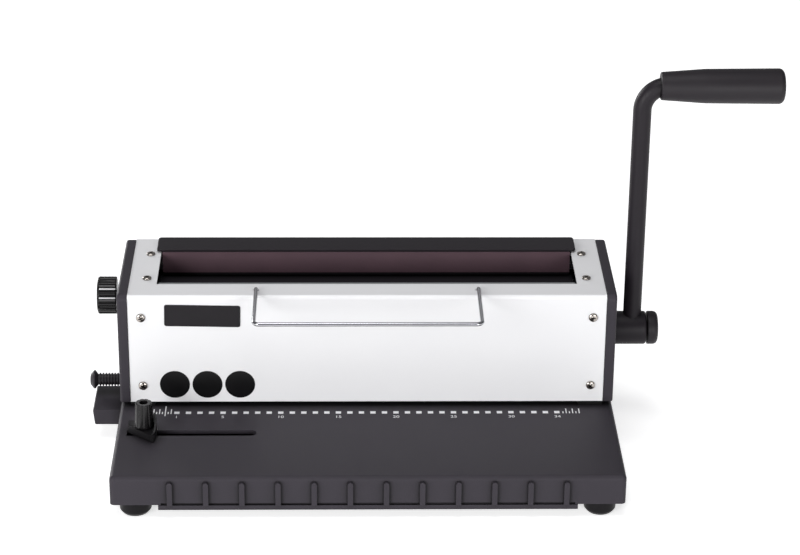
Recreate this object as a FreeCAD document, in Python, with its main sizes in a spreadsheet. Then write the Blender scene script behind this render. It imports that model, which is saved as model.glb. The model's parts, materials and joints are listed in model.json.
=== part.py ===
import FreeCAD, Part
import math
import os
import re
import Sketcher

# Desk machine that punches a row of square holes and closes wire combs.
# X runs to the user's right, Y away from the user, Z up. While it is drawn, X = 0 is the middle of the
# body, Y = 0 the front face of the silver cover and Z = 0 the table top. Every finished piece is then
# moved so that the origin lies under the middle of the whole machine.

vec = FreeCAD.Vector
doc = FreeCAD.newDocument("WireBindingMachine")
sheet = doc.addObject("Spreadsheet::Sheet", "Sizes")

# Driving sizes, in millimetres, degrees and counts.
sizes = {
    # base and feet
    "foot_high": 10.5, "foot_wide": 23.0, "foot_inset": 17.3, "foot_inset_front": 11.7, "foot_inset_back": 14.0,
    "foot_bevel_high": 2.4, "foot_bevel": 0.4, "foot_sole_high": 0.7, "foot_sole": 0.9, "foot_recess": 10.0,
    "foot_recess_high": 4.0, "foot_screw_wide": 4.0, "foot_screw_in": 9.0, "foot_screw_low": 1.2,
    "foot_screw_dome": 0.6, "foot_screw_gap": 0.6, "base_reach": 7.7, "base_high": 22.0, "base_wall": 3.0,
    "table_depth": 108.7, "base_behind": 3.0, "base_corner": 3.4, "base_edge": 3.3, "plate_thick": 1.5,
    "boss_wide": 9.0, "runner_inset": 3.0, "runner_wide": 2.0, "rib_count": 12, "rib_wide": 3.8, "rib_proud": 2.5,
    "rib_foot": 0.5, "lip_inset": 33.9, "lip_drop": 4.0, "lip_groove": 1.6, "lip_step": 0.4, "lip_end": 2.0,
    # frames and covers
    "frame_reach": 34.5, "frame_sheet": 3.0, "flange_reach": 18.0, "frame_depth": 101.0, "frame_bend": 4.0,
    "cover_sheet": 1.2, "cover_bend": 2.6, "return_reach": 10.0, "throat": 3.5, "trough_front": 20.8,
    "trough_inset": 2.2, "side_thick": 7.5, "side_shell": 2.5, "side_mouth": 9.0, "side_proud": 1.0, "side_behind": 1.0,
    "side_rise": 0.7, "side_round": 2.0, "side_corner": 5.0, "side_hole_gap": 1.0, "side_gap": 0.1,
    "rear_corner": 2.0,
    # screws
    "screw_wide": 3.0, "screw_head": 6.6, "screw_dome": 2.0, "screw_rim": 0.9, "screw_long": 6.0,
    "ear_screw_in": 5.3, "ear_screw_front": 30.0, "ear_screw_back": 73.5, "front_screw_in": 8.5,
    "front_screw_low": 13.4, "front_screw_top": 17.3, "bolt_wide": 4.0, "bolt_head": 7.0, "bolt_head_high": 2.4,
    "bolt_long": 12.0, "floor_bolt_in": 7.0, "floor_bolt_back": 23.0, "floor_bolt_long": 6.5,
    # fits, gaps and the overrun of cutting tools
    "run_fit": 0.05, "seat_fit": 0.02, "free_gap": 0.3, "stop_gap": 0.5, "over": 1.0,
    # punch
    "hole_pitch": 8.467, "hole_count": 34, "pin_wide": 4.0, "die_fit": 0.1, "row_depth": 22.0,
    "die_thick": 5.0, "die_lap": 0.8, "die_ahead": 14.0, "die_behind": 9.5, "guide_thick": 12.0,
    "guide_ahead": 10.0, "guide_behind": 5.5, "pin_entry": 6.0, "pin_step": 1.0, "step_count": 3,
    "spacer_wide": 5.9, "bar_lift": 1.86, "bar_high": 18.0, "bar_ahead": 8.0, "bar_behind": 12.0,
    "bar_chamfer": 2.0, "pin_socket": 8.0, "post_in": 7.7, "post_wide": 8.0, "post_long": 53.0,
    "post_socket": 6.0, "spring_wire": 1.2, "spring_turns": 6, "spring_gap": 0.4, "spring_room": 0.6,
    "spring_pocket": 10.0,
    # shaft, pinions and lever
    "shaft_behind": 30.0, "shaft_over_bar": 7.3, "shaft_wide": 14.0, "shaft_end": 1.8, "bush_wall": 2.0,
    "bush_flange": 1.5, "bush_rim": 2.0, "bush_proud": 1.2, "lever_swing": 90.0, "pressure": 25.0, "dedendum": 1.25,
    "pinion_module": 1.5, "pinion_teeth": 12, "pinion_inset": 11.2, "pinion_wide": 12.0, "rack_narrow": 1.0,
    "backlash": 0.25, "closer_module": 2.0, "closer_teeth": 28, "closer_inset": 2.8, "closer_wide": 6.0,
    "gear_hub_wide": 24.0, "hole_wide": 5.2, "hole_reach": 18.5, "hole_turn": 28.6, "cross_pin": 4.0,
    "cross_short": 0.2, "arm_reach": 20.0, "arm_thick": 3.4, "arm_wide": 8.0, "arm_round": 3.0,
    "hub_wide": 25.0, "hub_gap": 1.2, "hub_long": 26.7, "hub_edge": 0.8, "hub_grip": 9.0, "rod_in_hub": 16.3,
    "rod_wide": 13.5, "rod_rise": 193.4, "rod_bend": 18.5, "rod_tip": 12.0, "grip_setback": 12.4,
    "grip_long": 89.4, "grip_neck": 20.4, "grip_wide": 25.0, "grip_swell": 0.9, "grip_taper": 32.2, "grip_edge": 1.0,
    "grip_round": 4.0, "grip_relief": 1.3, "grip_relief_long": 8.0, "cap_gap": 1.1, "cap_long": 4.3,
    "cap_bevel": 3.5, "cap_spigot": 3.0, "cap_spigot_wide": 6.0, "cap_collar": 10.0,
    # closer
    "tie_high": 12.0, "tie_deep": 10.0, "tie_drop": 5.5, "tie_gap_front": 2.8, "tie_gap_back": 2.0,
    "floor_sheet": 1.5, "floor_lap": 1.0, "floor_gap": 0.7, "anvil_thick": 6.0, "anvil_gap": 0.7,
    "lug_high": 4.2, "guide_rod_wide": 7.0, "guide_rod_in": 5.7, "guide_rod_rise": 8.2, "support_gap": 0.2,
    "rack_gap": 0.2, "slide_long": 31.7, "slide_high": 11.0, "slide_inset": 2.3, "slide_floor": 1.0,
    "bar_web": 2.5, "web_gap": 1.0, "flange_deep": 23.0, "flange_over": 3.2, "flange_thick": 2.0,
    "flange_corner": 2.5, "flange_edge": 0.6, "press_setback": 10.0, "press_lift": 1.0, "press_lip": 2.0,
    "bar_above": 3.1, "strip_thick": 1.2, "tongue_high": 4.5, "tongue_long": 16.0, "tongue_in": 11.0,
    "tongue_back": 1.7,
    # size dial
    "dial_ahead": 16.0, "dial_over": 18.7, "dial_wide": 28.2, "dial_reach": 20.2, "dial_long": 12.0,
    "dial_collar": 2.4, "dial_neck": 3.0, "dial_round": 2.0, "dial_flute": 4.4, "dial_flute_out": 1.2,
    "dial_flute_start": 3.0, "dial_flutes": 12, "dial_rod": 8.0, "dial_socket": 6.0, "cam_wide": 12.4,
    "cam_throw": 1.1,
    # margin stops
    "margin_rise": 2.8, "margin_rod": 5.0, "margin_head": 14.0, "margin_barrel": 10.0, "margin_reach": 25.2,
    "margin_head_long": 5.9, "margin_rim": 1.0, "margin_barrel_long": 18.5, "margin_tip": 2.4, "margin_shoulder": 2.0,
    "margin_shoulder_high": 0.8, "margin_dome": 2.6, "margin_socket": 9.9, "stop_wide": 15.0,
    "stop_throw": 2.0, "stop_thick": 5.0, "stop_spread": 101.6, "bearing_wide": 12.0, "bearing_long": 8.0,
    "bearing_foot": 1.0, "bearing_over": 7.0, "opening_back": 11.0,
    # chip tray
    "tray_deep": 39.5, "tray_low": 12.8, "tray_high": 12.3, "tray_reach": 21.6,
    "tray_inset": 6.2, "tray_draft": 1.3, "tray_wall": 1.5, "tray_gap": 0.45, "tray_round": 1.2,
    # paper guide
    "slot_inset": 7.9, "slot_right": 80.4, "slot_depth": 42.5, "slot_wide": 8.3, "guide_inset": 20.7,
    "guide_foot": 5.5, "fence_in": 7.3, "fence_ahead": 15.0, "fence_behind": 7.5, "fence_bow": 1.9,
    "fence_thick": 1.2, "fence_high": 7.0, "fence_toe": 3.0, "fence_slope": 13.0, "foot_left": 11.9,
    "foot_left_ahead": 0.4, "foot_left_behind": 9.0, "foot_web": 3.2, "foot_tip": 1.5, "nut_long": 12.0,
    "nut_gap": 0.2, "nut_plate_long": 18.0, "nut_plate_wide": 14.0, "nut_plate": 3.0, "guide_knob_wide": 14.0,
    "guide_knob_taper": 1.0,
    "guide_knob_high": 18.8, "guide_knob_edge": 0.4, "guide_knob_cup": 6.1, "guide_cup_deep": 3.0,
    "guide_flute": 1.8, "guide_flute_start": 2.0, "guide_flute_out": 0.4, "guide_flutes": 10, "guide_screw": 5.0,
    # wire rack
    "rack_wire": 3.0, "rack_half": 81.0, "rack_hole_depth": 10.6, "rack_reach": 51.0, "rack_leg": 15.0,
    "rack_bend": 4.0, "rack_foot_bend": 3.0, "rack_fit": 0.7,
}

# Heights and places that follow from the driving sizes: across, from front to back, then upwards.
derived = {
    "row_half": "hole_pitch * (hole_count - 1) / 2",
    "rib_pitch": "3 * hole_pitch",
    "frame_out": "row_half + frame_reach",
    "frame_in": "frame_out - frame_sheet",
    "flange_in": "frame_out - flange_reach",
    "side_in": "frame_out + side_gap",
    "side_out": "side_in + side_thick",
    "base_half": "frame_out + base_reach",
    "foot_side": "base_half - foot_inset",
    "lip_half": "base_half - lip_inset",
    "ear_screw_x": "flange_in + ear_screw_in",
    "front_screw_x": "flange_in + front_screw_in",
    "floor_bolt_x": "flange_in + floor_bolt_in",
    "trough_half": "flange_in - trough_inset",
    "web_half": "trough_half - web_gap",
    "flange_half": "trough_half + flange_over",
    "slide_in": "flange_in + slide_inset",
    "closer_in": "flange_in + closer_inset",
    "guide_rod_x": "frame_in - guide_rod_in",
    "pinion_in": "flange_in - pinion_inset",
    "post_x": "flange_in - post_in",
    "bar_half": "flange_in - rack_gap",
    "die_half": "frame_in + die_lap",
    "hub_start": "side_out + hub_gap",
    "rod_x": "hub_start + rod_in_hub",
    "grip_start": "rod_x + grip_setback",
    "grip_end": "grip_start + grip_long",
    "dial_out": "side_out + dial_reach",
    "margin_out": "side_out + margin_reach",
    "tray_out": "base_half + tray_reach",
    "tray_end": "flange_in - tray_inset",
    "slot_left": "base_half - slot_inset",
    "guide_at": "base_half - guide_inset",
    "base_back": "frame_depth + base_behind",
    "foot_front": "table_depth - foot_inset_front",
    "foot_back": "base_back - foot_inset_back",
    "frame_front": "cover_sheet",
    "frame_back": "frame_depth",
    "floor_bolt_y": "frame_back - floor_bolt_back",
    "front_tie_y": "frame_front + frame_sheet + tie_gap_front + tie_deep / 2",
    "rear_tie_y": "frame_back - frame_sheet - tie_gap_back - tie_deep / 2",
    "bar_front": "row_depth - bar_ahead",
    "bar_back": "row_depth + bar_behind",
    "guide_plate_front": "row_depth - guide_ahead",
    "guide_plate_back": "row_depth + guide_behind",
    "shaft_depth": "row_depth + shaft_behind",
    "dial_depth": "frame_back - frame_sheet - tie_gap_back - tie_deep - dial_ahead",
    "margin_depth": "row_depth + die_behind + stop_gap + bearing_wide / 2",
    "table": "foot_high + base_high",
    "floor_in": "foot_high + plate_thick",
    "cover_low": "table + throat",
    "guide_top": "cover_low + guide_thick",
    "pinion_line": "pinion_module * pinion_teeth / 2",
    "closer_line": "closer_module * closer_teeth / 2",
    "punch_travel": "pinion_line * pi * lever_swing / 180",
    "closer_travel": "closer_line * pi * lever_swing / 180",
    "bar_bottom": "guide_top + punch_travel + bar_lift",
    "bar_top": "bar_bottom + bar_high",
    "spring_mean": "post_wide / 2 + spring_gap + spring_wire / 2",
    "spring_roof": "bar_bottom + spring_pocket",
    "shaft_z": "bar_bottom + shaft_over_bar",
    "punch_rack_line": "shaft_depth - pinion_line",
    "closer_rack_line": "shaft_z + closer_line",
    "slide_low": "closer_rack_line + closer_module * dedendum + rack_gap",
    "slide_top": "slide_low + slide_high",
    "slide_back": "frame_back - frame_sheet - free_gap",
    "slide_front": "slide_back - slide_long",
    "guide_rod_z": "closer_rack_line + guide_rod_rise",
    "frame_top": "slide_top + stop_gap + lug_high + frame_sheet",
    "cover_top": "frame_top + cover_sheet",
    "floor_top": "slide_low + slide_floor",
    "tie_top": "floor_top - floor_sheet - tie_drop",
    "tie_low": "tie_top - tie_high",
    "press_front": "slide_front + press_setback",
    "channel_low": "floor_top + press_lift",
    "tongue_low": "channel_low + bar_web",
    "press_top": "cover_top + bar_above",
    "dial_z": "shaft_z + dial_over",
    "margin_z": "table + margin_rise",
    "tray_top": "tray_low + tray_high",
    "tray_front": "row_depth - die_ahead",
    "tray_back": "tray_front + tray_deep",
    "rack_z": "cover_top + rack_wire / 2 + free_gap",
    "lever_z": "shaft_z + rod_rise",
    "guide_low": "table + free_gap",
    "guide_roof": "guide_low + guide_foot",
    "shift_x": "(margin_out - grip_end) / 2",
    "shift_y": "(table_depth + rib_proud - base_back) / 2",
}


def fillSheet():
    for row, (name, number) in enumerate(sizes.items(), start=1):
        sheet.set("A%d" % row, name)
        sheet.set("B%d" % row, str(number))
        sheet.setAlias("B%d" % row, name)
    doc.recompute()


def ex(text):
    """Spell out a size formula in the sheet's own names."""
    def word(match):
        name = match.group(0)
        if name in sizes:
            return "Sizes." + name
        if name in derived:
            return "(" + ex(derived[name]) + ")"
        if name in ("pi", "sqrt"):
            return name
        raise ValueError("unknown size " + name)
    return re.sub(r"[A-Za-z_][A-Za-z_0-9]*", word, str(text))


def val(text):
    return float(sheet.evalExpression(ex(text)))


def neg(text):
    return "-(%s)" % text


def span(side, near, far):
    """Range along X from near to far of the middle plane, on the right (1) or the left (-1)."""
    if side > 0:
        return near, far
    return neg(far), neg(near)


pieces = {}
places = {}


def finish(label, shape):
    """Name a finished piece and move it into the machine's own frame."""
    shape.Label = label
    start = places.get(shape.Name, ("0", "0", "0"))
    bind(shape, "Placement.Base.x", "(%s) + shift_x" % start[0])
    bind(shape, "Placement.Base.y", "(%s) + shift_y" % start[1])
    pieces[label] = shape
    return shape


def bind(item, name, text):
    item.setExpression(name, ex(text))


def place(item, x, y, z):
    places[item.Name] = (x, y, z)
    for letter, text in zip("xyz", (x, y, z)):
        bind(item, "Placement.Base." + letter, text)
    return item


def box(name, x, y, z):
    item = doc.addObject("Part::Box", name)
    for size, pair in (("Length", x), ("Width", y), ("Height", z)):
        bind(item, size, "(%s) - (%s)" % (pair[1], pair[0]))
    return place(item, x[0], y[0], z[0])


# How close an edge has to be to the value that picks it, and the two sides of the middle plane.
close = 0.01
sides = (neg, str)
turns = {
    "x": FreeCAD.Rotation(vec(0, 1, 0), 90),
    "y": FreeCAD.Rotation(vec(1, 0, 0), -90),
    "z": FreeCAD.Rotation(),
}


def axisPoint(axis, along, centre):
    u, v = centre
    return {"x": (along, u, v), "y": (u, along, v), "z": (u, v, along)}[axis]


def bar(name, axis, along, centre, radius):
    """Round bar along an axis; centre holds the two other coordinates in X, Y, Z order."""
    item = doc.addObject("Part::Cylinder", name)
    item.Placement = FreeCAD.Placement(vec(), turns[axis])
    bind(item, "Radius", radius)
    bind(item, "Height", "(%s) - (%s)" % (along[1], along[0]))
    return place(item, *axisPoint(axis, along[0], centre))


def join(name, items):
    item = doc.addObject("Part::MultiFuse", name)
    item.Shapes = items
    return item


def cut(name, base, tools):
    item = doc.addObject("Part::Cut", name)
    item.Base = base
    item.Tool = tools[0] if len(tools) == 1 else join(name + "_tools", tools)
    return item


def group(label, shapes):
    """Several loose solids of one kind, kept as one piece."""
    item = doc.addObject("Part::Feature", label)
    item.Shape = Part.makeCompound(shapes)
    return finish(label, item)


def solid(label, shape):
    """One solid worked out from the sheet's values."""
    item = doc.addObject("Part::Feature", label)
    item.Shape = shape
    return item


def originPlane(body, role):
    return [item for item in body.Origin.OriginFeatures if item.Role == role][0]


def addLoop(sketch, loop):
    """Draw a closed outline and tie each of its points to the sheet."""
    first = sketch.GeometryCount
    if loop[0] == "circle":
        u, v, radius = loop[1:]
        sketch.addGeometry(Part.Circle(vec(val(u), val(v), 0), vec(0, 0, 1), val(radius)), False)
        ties = [("DistanceX", 3, u), ("DistanceY", 3, v)]
        for kind, end, text in ties:
            number = sketch.addConstraint(Sketcher.Constraint(kind, -1, 1, first, end, val(text)))
            bind(sketch, "Constraints[%d]" % number, text)
        number = sketch.addConstraint(Sketcher.Constraint("Radius", first, val(radius)))
        bind(sketch, "Constraints[%d]" % number, radius)
        return
    points = [vec(val(corner[0]), val(corner[1]), 0) for corner in loop]
    ends = []
    for index, corner in enumerate(loop):
        here, there = points[index], points[(index + 1) % len(loop)]
        geometry = first + index
        if len(corner) == 2:
            sketch.addGeometry(Part.LineSegment(here, there), False)
            ends.append((geometry, 1, 2))
            continue
        centre = vec(val(corner[2]), val(corner[3]), 0)
        circle = Part.Circle(centre, vec(0, 0, 1), (here - centre).Length)
        forward = corner[4] == "left"
        start, stop = (here, there) if forward else (there, here)
        angles = [math.atan2(p.y - centre.y, p.x - centre.x) for p in (start, stop)]
        if angles[1] <= angles[0]:
            angles[1] += 2 * math.pi
        sketch.addGeometry(Part.ArcOfCircle(circle, angles[0], angles[1]), False)
        ends.append((geometry, 1, 2) if forward else (geometry, 2, 1))
    for index, corner in enumerate(loop):
        geometry, begin, _ = ends[index]
        before, _, last = ends[index - 1]
        sketch.addConstraint(Sketcher.Constraint("Coincident", before, last, geometry, begin))
        ties = [("DistanceX", begin, corner[0]), ("DistanceY", begin, corner[1])]
        if len(corner) == 5:
            chord = points[(index + 1) % len(loop)] - points[index]
            flat = abs(chord.x) > abs(chord.y)
            ties.append(("DistanceY", 3, corner[3]) if flat else ("DistanceX", 3, corner[2]))
        for kind, end, text in ties:
            number = sketch.addConstraint(Sketcher.Constraint(kind, -1, 1, geometry, end, val(text)))
            bind(sketch, "Constraints[%d]" % number, text)


def outline(body, plane, offset, loops):
    sketch = body.newObject("Sketcher::SketchObject", body.Name + "_sketch")
    sketch.AttachmentSupport = [(originPlane(body, plane + "_Plane"), "")]
    sketch.MapMode = "FlatFace"
    bind(sketch, "AttachmentOffset.Base.z", offset)
    for loop in loops:
        addLoop(sketch, loop)
    return sketch


def rect(u, v):
    return [(u[0], v[0]), (u[1], v[0]), (u[1], v[1]), (u[0], v[1])]


def grow(body, plane, along, loops):
    """Pad outlines between two positions on the axis square to the plane."""
    low, high = along
    offset = neg(high) if plane == "XZ" else low
    item = body.newObject("PartDesign::Pad", body.Name + "_pad")
    item.Profile = outline(body, plane, offset, loops)
    bind(item, "Length", "(%s) - (%s)" % (high, low))
    return item


def sink(body, plane, along, loops):
    """Pocket outlines between two positions on the axis square to the plane."""
    low, high = along
    offset = neg(low) if plane == "XZ" else high
    item = body.newObject("PartDesign::Pocket", body.Name + "_pocket")
    item.Profile = outline(body, plane, offset, loops)
    bind(item, "Length", "(%s) - (%s)" % (high, low))
    return item


def repeat(body, feature, count, pitch):
    """Repeat a feature along X."""
    item = body.newObject("PartDesign::LinearPattern", body.Name + "_row")
    item.Originals = [feature]
    item.Direction = (feature.Profile[0], ["H_Axis"])
    bind(item, "Occurrences", count)
    bind(item, "Length", "(%s) * (%s - 1)" % (pitch, count))
    body.Tip = item
    return item


def turned(name, axis, along, centre, profile):
    """Turned piece: profile pairs are radius and distance along the axis from its start."""
    body = doc.addObject("PartDesign::Body", name)
    sketch = outline(body, "XZ", "0", [profile])
    item = body.newObject("PartDesign::Revolution", name + "_turn")
    item.Profile = sketch
    item.ReferenceAxis = (sketch, ["V_Axis"])
    item.Angle = 360
    body.Placement = FreeCAD.Placement(vec(), turns[axis])
    return place(body, *axisPoint(axis, along, centre))


def along(axis, **at):
    """Pick straight edges parallel to an axis whose other coordinates have one of the given values."""
    wanted = {letter: [val(text) for text in texts] for letter, texts in at.items()}

    def pick(edge):
        if len(edge.Vertexes) != 2 or edge.Curve.TypeId != "Part::GeomLine":
            return False
        step = edge.Vertexes[1].Point - edge.Vertexes[0].Point
        if abs(getattr(step, axis)) < 0.99 * step.Length:
            return False
        middle = edge.CenterOfMass
        return all(min(abs(getattr(middle, letter) - value) for value in values) < close
                   for letter, values in wanted.items())
    return pick


def dress(body, kind, size, pick):
    """Round or chamfer the edges that pick accepts."""
    doc.recompute()
    base = body.Tip
    names = ["Edge%d" % (i + 1) for i, edge in enumerate(base.Shape.Edges) if pick(edge)]
    if not names:
        raise ValueError("no edge to dress on " + body.Name)
    item = body.newObject("PartDesign::" + kind, body.Name + "_" + kind.lower())
    item.Base = (base, names)
    bind(item, "Radius" if kind == "Fillet" else "Size", size)
    return item


def newBody(name):
    return doc.addObject("PartDesign::Body", name)


def base():
    """Low moulding with the paper table, open underneath."""
    body = newBody("base")
    wallFront = neg("table_depth")
    grow(body, "XY", ("foot_high", "table"), [rect((neg("base_half"), "base_half"), (wallFront, "base_back"))])
    dress(body, "Fillet", "base_corner", along("z"))
    dress(body, "Fillet", "base_edge", lambda edge: abs(edge.BoundBox.ZMin - val("table")) < close)
    inner = ("base_half - base_wall", "-(table_depth - base_wall)", "base_back - base_wall")
    sink(body, "XY", ("foot_high", "table - base_wall"),
         [rect((neg(inner[0]), inner[0]), (inner[1], inner[2]))])
    openingWide = "die_half + free_gap"
    skin = ("table - base_wall - over", "table")
    sink(body, "XY", skin, [rect((neg(openingWide), openingWide),
                                 ("row_depth - die_ahead - free_gap", "margin_depth + opening_back"))])
    slotFront = "-(slot_depth + slot_wide / 2)"
    slotBack = "-(slot_depth - slot_wide / 2)"
    slotEnd = "-(slot_right + slot_wide / 2)"
    sink(body, "XY", skin,
         [[(neg("slot_left"), slotFront), (slotEnd, slotFront, slotEnd, neg("slot_depth"), "left"),
           (slotEnd, slotBack), (neg("slot_left"), slotBack)]])
    sink(body, "YZ", (neg("base_half"), "-(base_half - base_wall)"),
         [rect(("tray_front - tray_gap", "tray_back + tray_gap"), ("tray_low - free_gap", "tray_top + tray_gap"))])
    baseLip(body)
    baseRibs(body)
    grow(body, "XY", ("floor_in", "table - base_wall"), [("circle", x, y, "boss_wide / 2") for x, y in footPlaces()])
    sink(body, "XY", ("foot_high", "floor_in + foot_screw_in"),
         [("circle", x, y, "foot_screw_wide / 2 + run_fit") for x, y in footPlaces()])
    sink(body, "XY", skin,
         [("circle", side("floor_bolt_x"), "floor_bolt_y", "bolt_wide / 2 + run_fit") for side in sides])
    finish("base", body)


def baseLip(body):
    """Thin lip under the front wall with a groove above it."""
    wallFront = neg("table_depth")
    sink(body, "XZ", (wallFront, "-(table_depth - base_wall / 2)"),
         [rect(("-(lip_half - lip_end)", "lip_half - lip_end"), ("foot_high", "foot_high + lip_groove"))])
    grow(body, "XY", ("foot_high - lip_drop", "foot_high"),
         [rect((neg("lip_half"), "lip_half"), ("-(table_depth - base_wall / 2)", "-(table_depth - base_wall)"))])
    grow(body, "XY", ("foot_high - lip_drop", "foot_high - lip_step"),
         [rect((neg("lip_half"), "lip_half"), (wallFront, "-(table_depth - base_wall)"))])


def baseRibs(body):
    """Row of upright ribs with round tops on the front wall."""
    left = "-(rib_pitch * (rib_count - 1) + rib_wide) / 2"
    right = left + " + rib_wide"
    middle = left + " + rib_wide / 2"
    low = "foot_high + rib_foot"
    high = "table - base_edge - rib_wide / 2"
    rib = grow(body, "XZ", ("-(table_depth + rib_proud)", neg("table_depth")),
               [[(left, low), (right, low), (right, high, middle, high, "left"), (left, high)]])
    repeat(body, rib, "rib_count", "rib_pitch")


def bottomPlate():
    """Flat plate inside the base's wall, with two runners for the chip tray."""
    edge = "base_half - base_wall - free_gap"
    body = newBody("bottom_plate")
    grow(body, "XY", ("foot_high", "floor_in"),
         [rect((neg(edge), edge), ("-(table_depth - base_wall - free_gap)", "base_back - base_wall - free_gap"))])
    for y in ("tray_front + runner_inset", "tray_back - runner_inset - runner_wide"):
        grow(body, "XY", ("floor_in", "tray_low - free_gap"),
             [rect((neg(edge), "tray_end"), (y, y + " + runner_wide"))])
    sink(body, "XY", ("foot_high", "floor_in"),
         [("circle", x, y, "foot_screw_wide / 2 + run_fit") for x, y in footPlaces()])
    finish("bottom_plate", body)


def footPlaces():
    return [(side("foot_side"), y) for side in sides for y in (neg("foot_front"), "foot_back")]


def moved(shape, x, y, z):
    copy = shape.copy()
    copy.translate(vec(val(x), val(y), val(z)))
    return copy


def turnedShape(profile, axis="z"):
    """Solid of revolution for loose copies: radius and height pairs about Z, then turned to an axis."""
    points = [vec(val(radius), 0, val(height)) for radius, height in profile]
    face = Part.Face(Part.makePolygon(points + points[:1]))
    shape = face.revolve(vec(), vec(0, 0, 1), 360)
    shape.rotate(vec(), turns[axis].Axis, math.degrees(turns[axis].Angle))
    return shape


def feet():
    """Four round rubber feet, each held by a screw from below."""
    radius = "foot_wide / 2"
    hole = "foot_screw_wide / 2 + run_fit"
    recess = "foot_recess / 2"
    foot = turnedShape([(hole, "foot_high"), (radius, "foot_high"), (radius, "foot_bevel_high"),
                        (radius + " - foot_bevel", "foot_sole_high"), (radius + " - foot_bevel - foot_sole", "0"),
                        (recess, "0"), (recess, "foot_recess_high"), (hole, "foot_recess_high")])
    group("rubber_feet", [moved(foot, x, y, "0") for x, y in footPlaces()])
    head = recess + " - foot_screw_gap"
    tip = "foot_high + foot_screw_in"
    screw = turnedShape([("0", "foot_screw_low"), (head, "foot_screw_low + foot_screw_dome"),
                         (head, "foot_recess_high"), ("foot_screw_wide / 2", "foot_recess_high"),
                         ("foot_screw_wide / 2", tip), ("0", tip)])
    group("foot_screws", [moved(screw, x, y, "0") for x, y in footPlaces()])


def sideFrame(side, label):
    """Folded steel side: a web with flanges on all four edges, turned inward."""
    body = newBody(label)
    outer = span(side, "flange_in", "frame_out")
    inner = span(side, "flange_in", "frame_in")
    web = span(side, "frame_in", "frame_out")
    grow(body, "YZ", outer, [rect(("frame_front", "frame_back"), ("table", "frame_top"))])
    dress(body, "Fillet", "frame_bend", along("x", y=("frame_front",), z=("frame_top",)))
    sink(body, "YZ", inner, [rect(("frame_front + frame_sheet", "frame_back - frame_sheet"),
                                  ("table + frame_sheet", "frame_top - frame_sheet"))])
    dress(body, "Fillet", "frame_bend - frame_sheet",
          along("x", y=("frame_front + frame_sheet",), z=("frame_top - frame_sheet",)))
    sink(body, "YZ", outer, [rect(("margin_depth - bearing_wide / 2 - free_gap",
                                   "margin_depth + bearing_wide / 2 + free_gap"),
                                  ("table", "margin_z + margin_rod / 2 + 3 * stop_gap"))])
    holes = [("circle", "shaft_depth", "shaft_z", "shaft_wide / 2 + bush_wall + seat_fit")]
    if side < 0:
        holes.append(("circle", "dial_depth", "dial_z", "dial_rod / 2 + bush_wall + seat_fit"))
    holes += [("circle", y, z, "bolt_wide / 2 + run_fit") for y, z in webBolts()]
    sink(body, "YZ", web, holes)
    screw = "screw_wide / 2 + run_fit"
    sink(body, "XY", ("frame_top - frame_sheet", "frame_top"),
         [("circle", "%d * ear_screw_x" % side, y, screw) for y in ("ear_screw_front", "ear_screw_back")])
    for depth in (("frame_front", "frame_front + frame_sheet"), ("frame_back - frame_sheet", "frame_back")):
        sink(body, "XZ", depth, [("circle", "%d * front_screw_x" % side, z, screw) for z in wallScrewHeights()])
    floorBolts = [("%d * floor_bolt_x" % side, y) for y in ("row_depth", "floor_bolt_y")]
    sink(body, "XY", ("table", "table + frame_sheet"),
         [("circle", x, y, "bolt_wide / 2 + run_fit") for x, y in floorBolts])
    sink(body, "XY", ("table + frame_sheet / 2", "table + frame_sheet"),
         [("circle", x, y, "bolt_head / 2 + run_fit") for x, y in floorBolts])
    finish(label, body)


def webBolts():
    """Places on each web where cross members are bolted: guide plate, front and rear tie bars."""
    return [("row_depth - pin_wide / 2", "cover_low + guide_thick / 2"), ("front_tie_y", "tie_low + tie_high / 2"),
            ("rear_tie_y", "tie_low + tie_high / 2")]


def wallScrewHeights():
    return ["cover_low + front_screw_low", "cover_top - front_screw_top"]


def frontCover():
    """One silver sheet: front wall, top strip with an ear at each side, and a return along the throat."""
    body = newBody("front_cover")
    half = "frame_out"
    inside = "cover_sheet"
    grow(body, "YZ", (neg(half), half),
         [[("0", "cover_low"), (inside, "cover_low"), (inside, "cover_top - cover_sheet"),
           ("frame_back + cover_sheet", "cover_top - cover_sheet"), ("frame_back + cover_sheet", "cover_top"),
           ("0", "cover_top")]])
    dress(body, "Fillet", "cover_bend", along("x", y=("0",), z=("cover_top",)))
    dress(body, "Fillet", "cover_bend - cover_sheet", along("x", y=(inside,), z=("cover_top - cover_sheet",)))
    grow(body, "XY", ("cover_low", "cover_low + cover_sheet"),
         [rect(("-(flange_in - free_gap)", "flange_in - free_gap"), ("cover_sheet / 2", "return_reach"))])
    sink(body, "XY", ("cover_top - cover_sheet - over", "cover_top"),
         [rect((neg("trough_half"), "trough_half"), ("trough_front", "frame_back + cover_sheet + over"))])
    screw = "screw_wide / 2 + run_fit"
    sink(body, "XY", ("cover_top - cover_sheet", "cover_top"),
         [("circle", side("ear_screw_x"), y, screw) for side in sides for y in ("ear_screw_front", "ear_screw_back")]
         + [("circle", side("rack_half"), "rack_hole_depth", "rack_wire / 2 + rack_fit") for side in sides])
    sink(body, "XZ", ("0", "cover_sheet"),
         [("circle", side("front_screw_x"), z, screw) for side in sides for z in wallScrewHeights()])
    finish("front_cover", body)


def rearCover():
    body = newBody("rear_cover")
    edge = "frame_out - free_gap"
    grow(body, "XZ", ("frame_back", "frame_back + cover_sheet"),
         [rect((neg(edge), edge), ("table + free_gap", "frame_top - free_gap"))])
    dress(body, "Fillet", "rear_corner", along("y"))
    screw = "screw_wide / 2 + run_fit"
    sink(body, "XZ", ("frame_back", "frame_back + cover_sheet"),
         [("circle", side("front_screw_x"), z, screw) for side in sides for z in wallScrewHeights()])
    finish("rear_cover", body)


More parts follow.
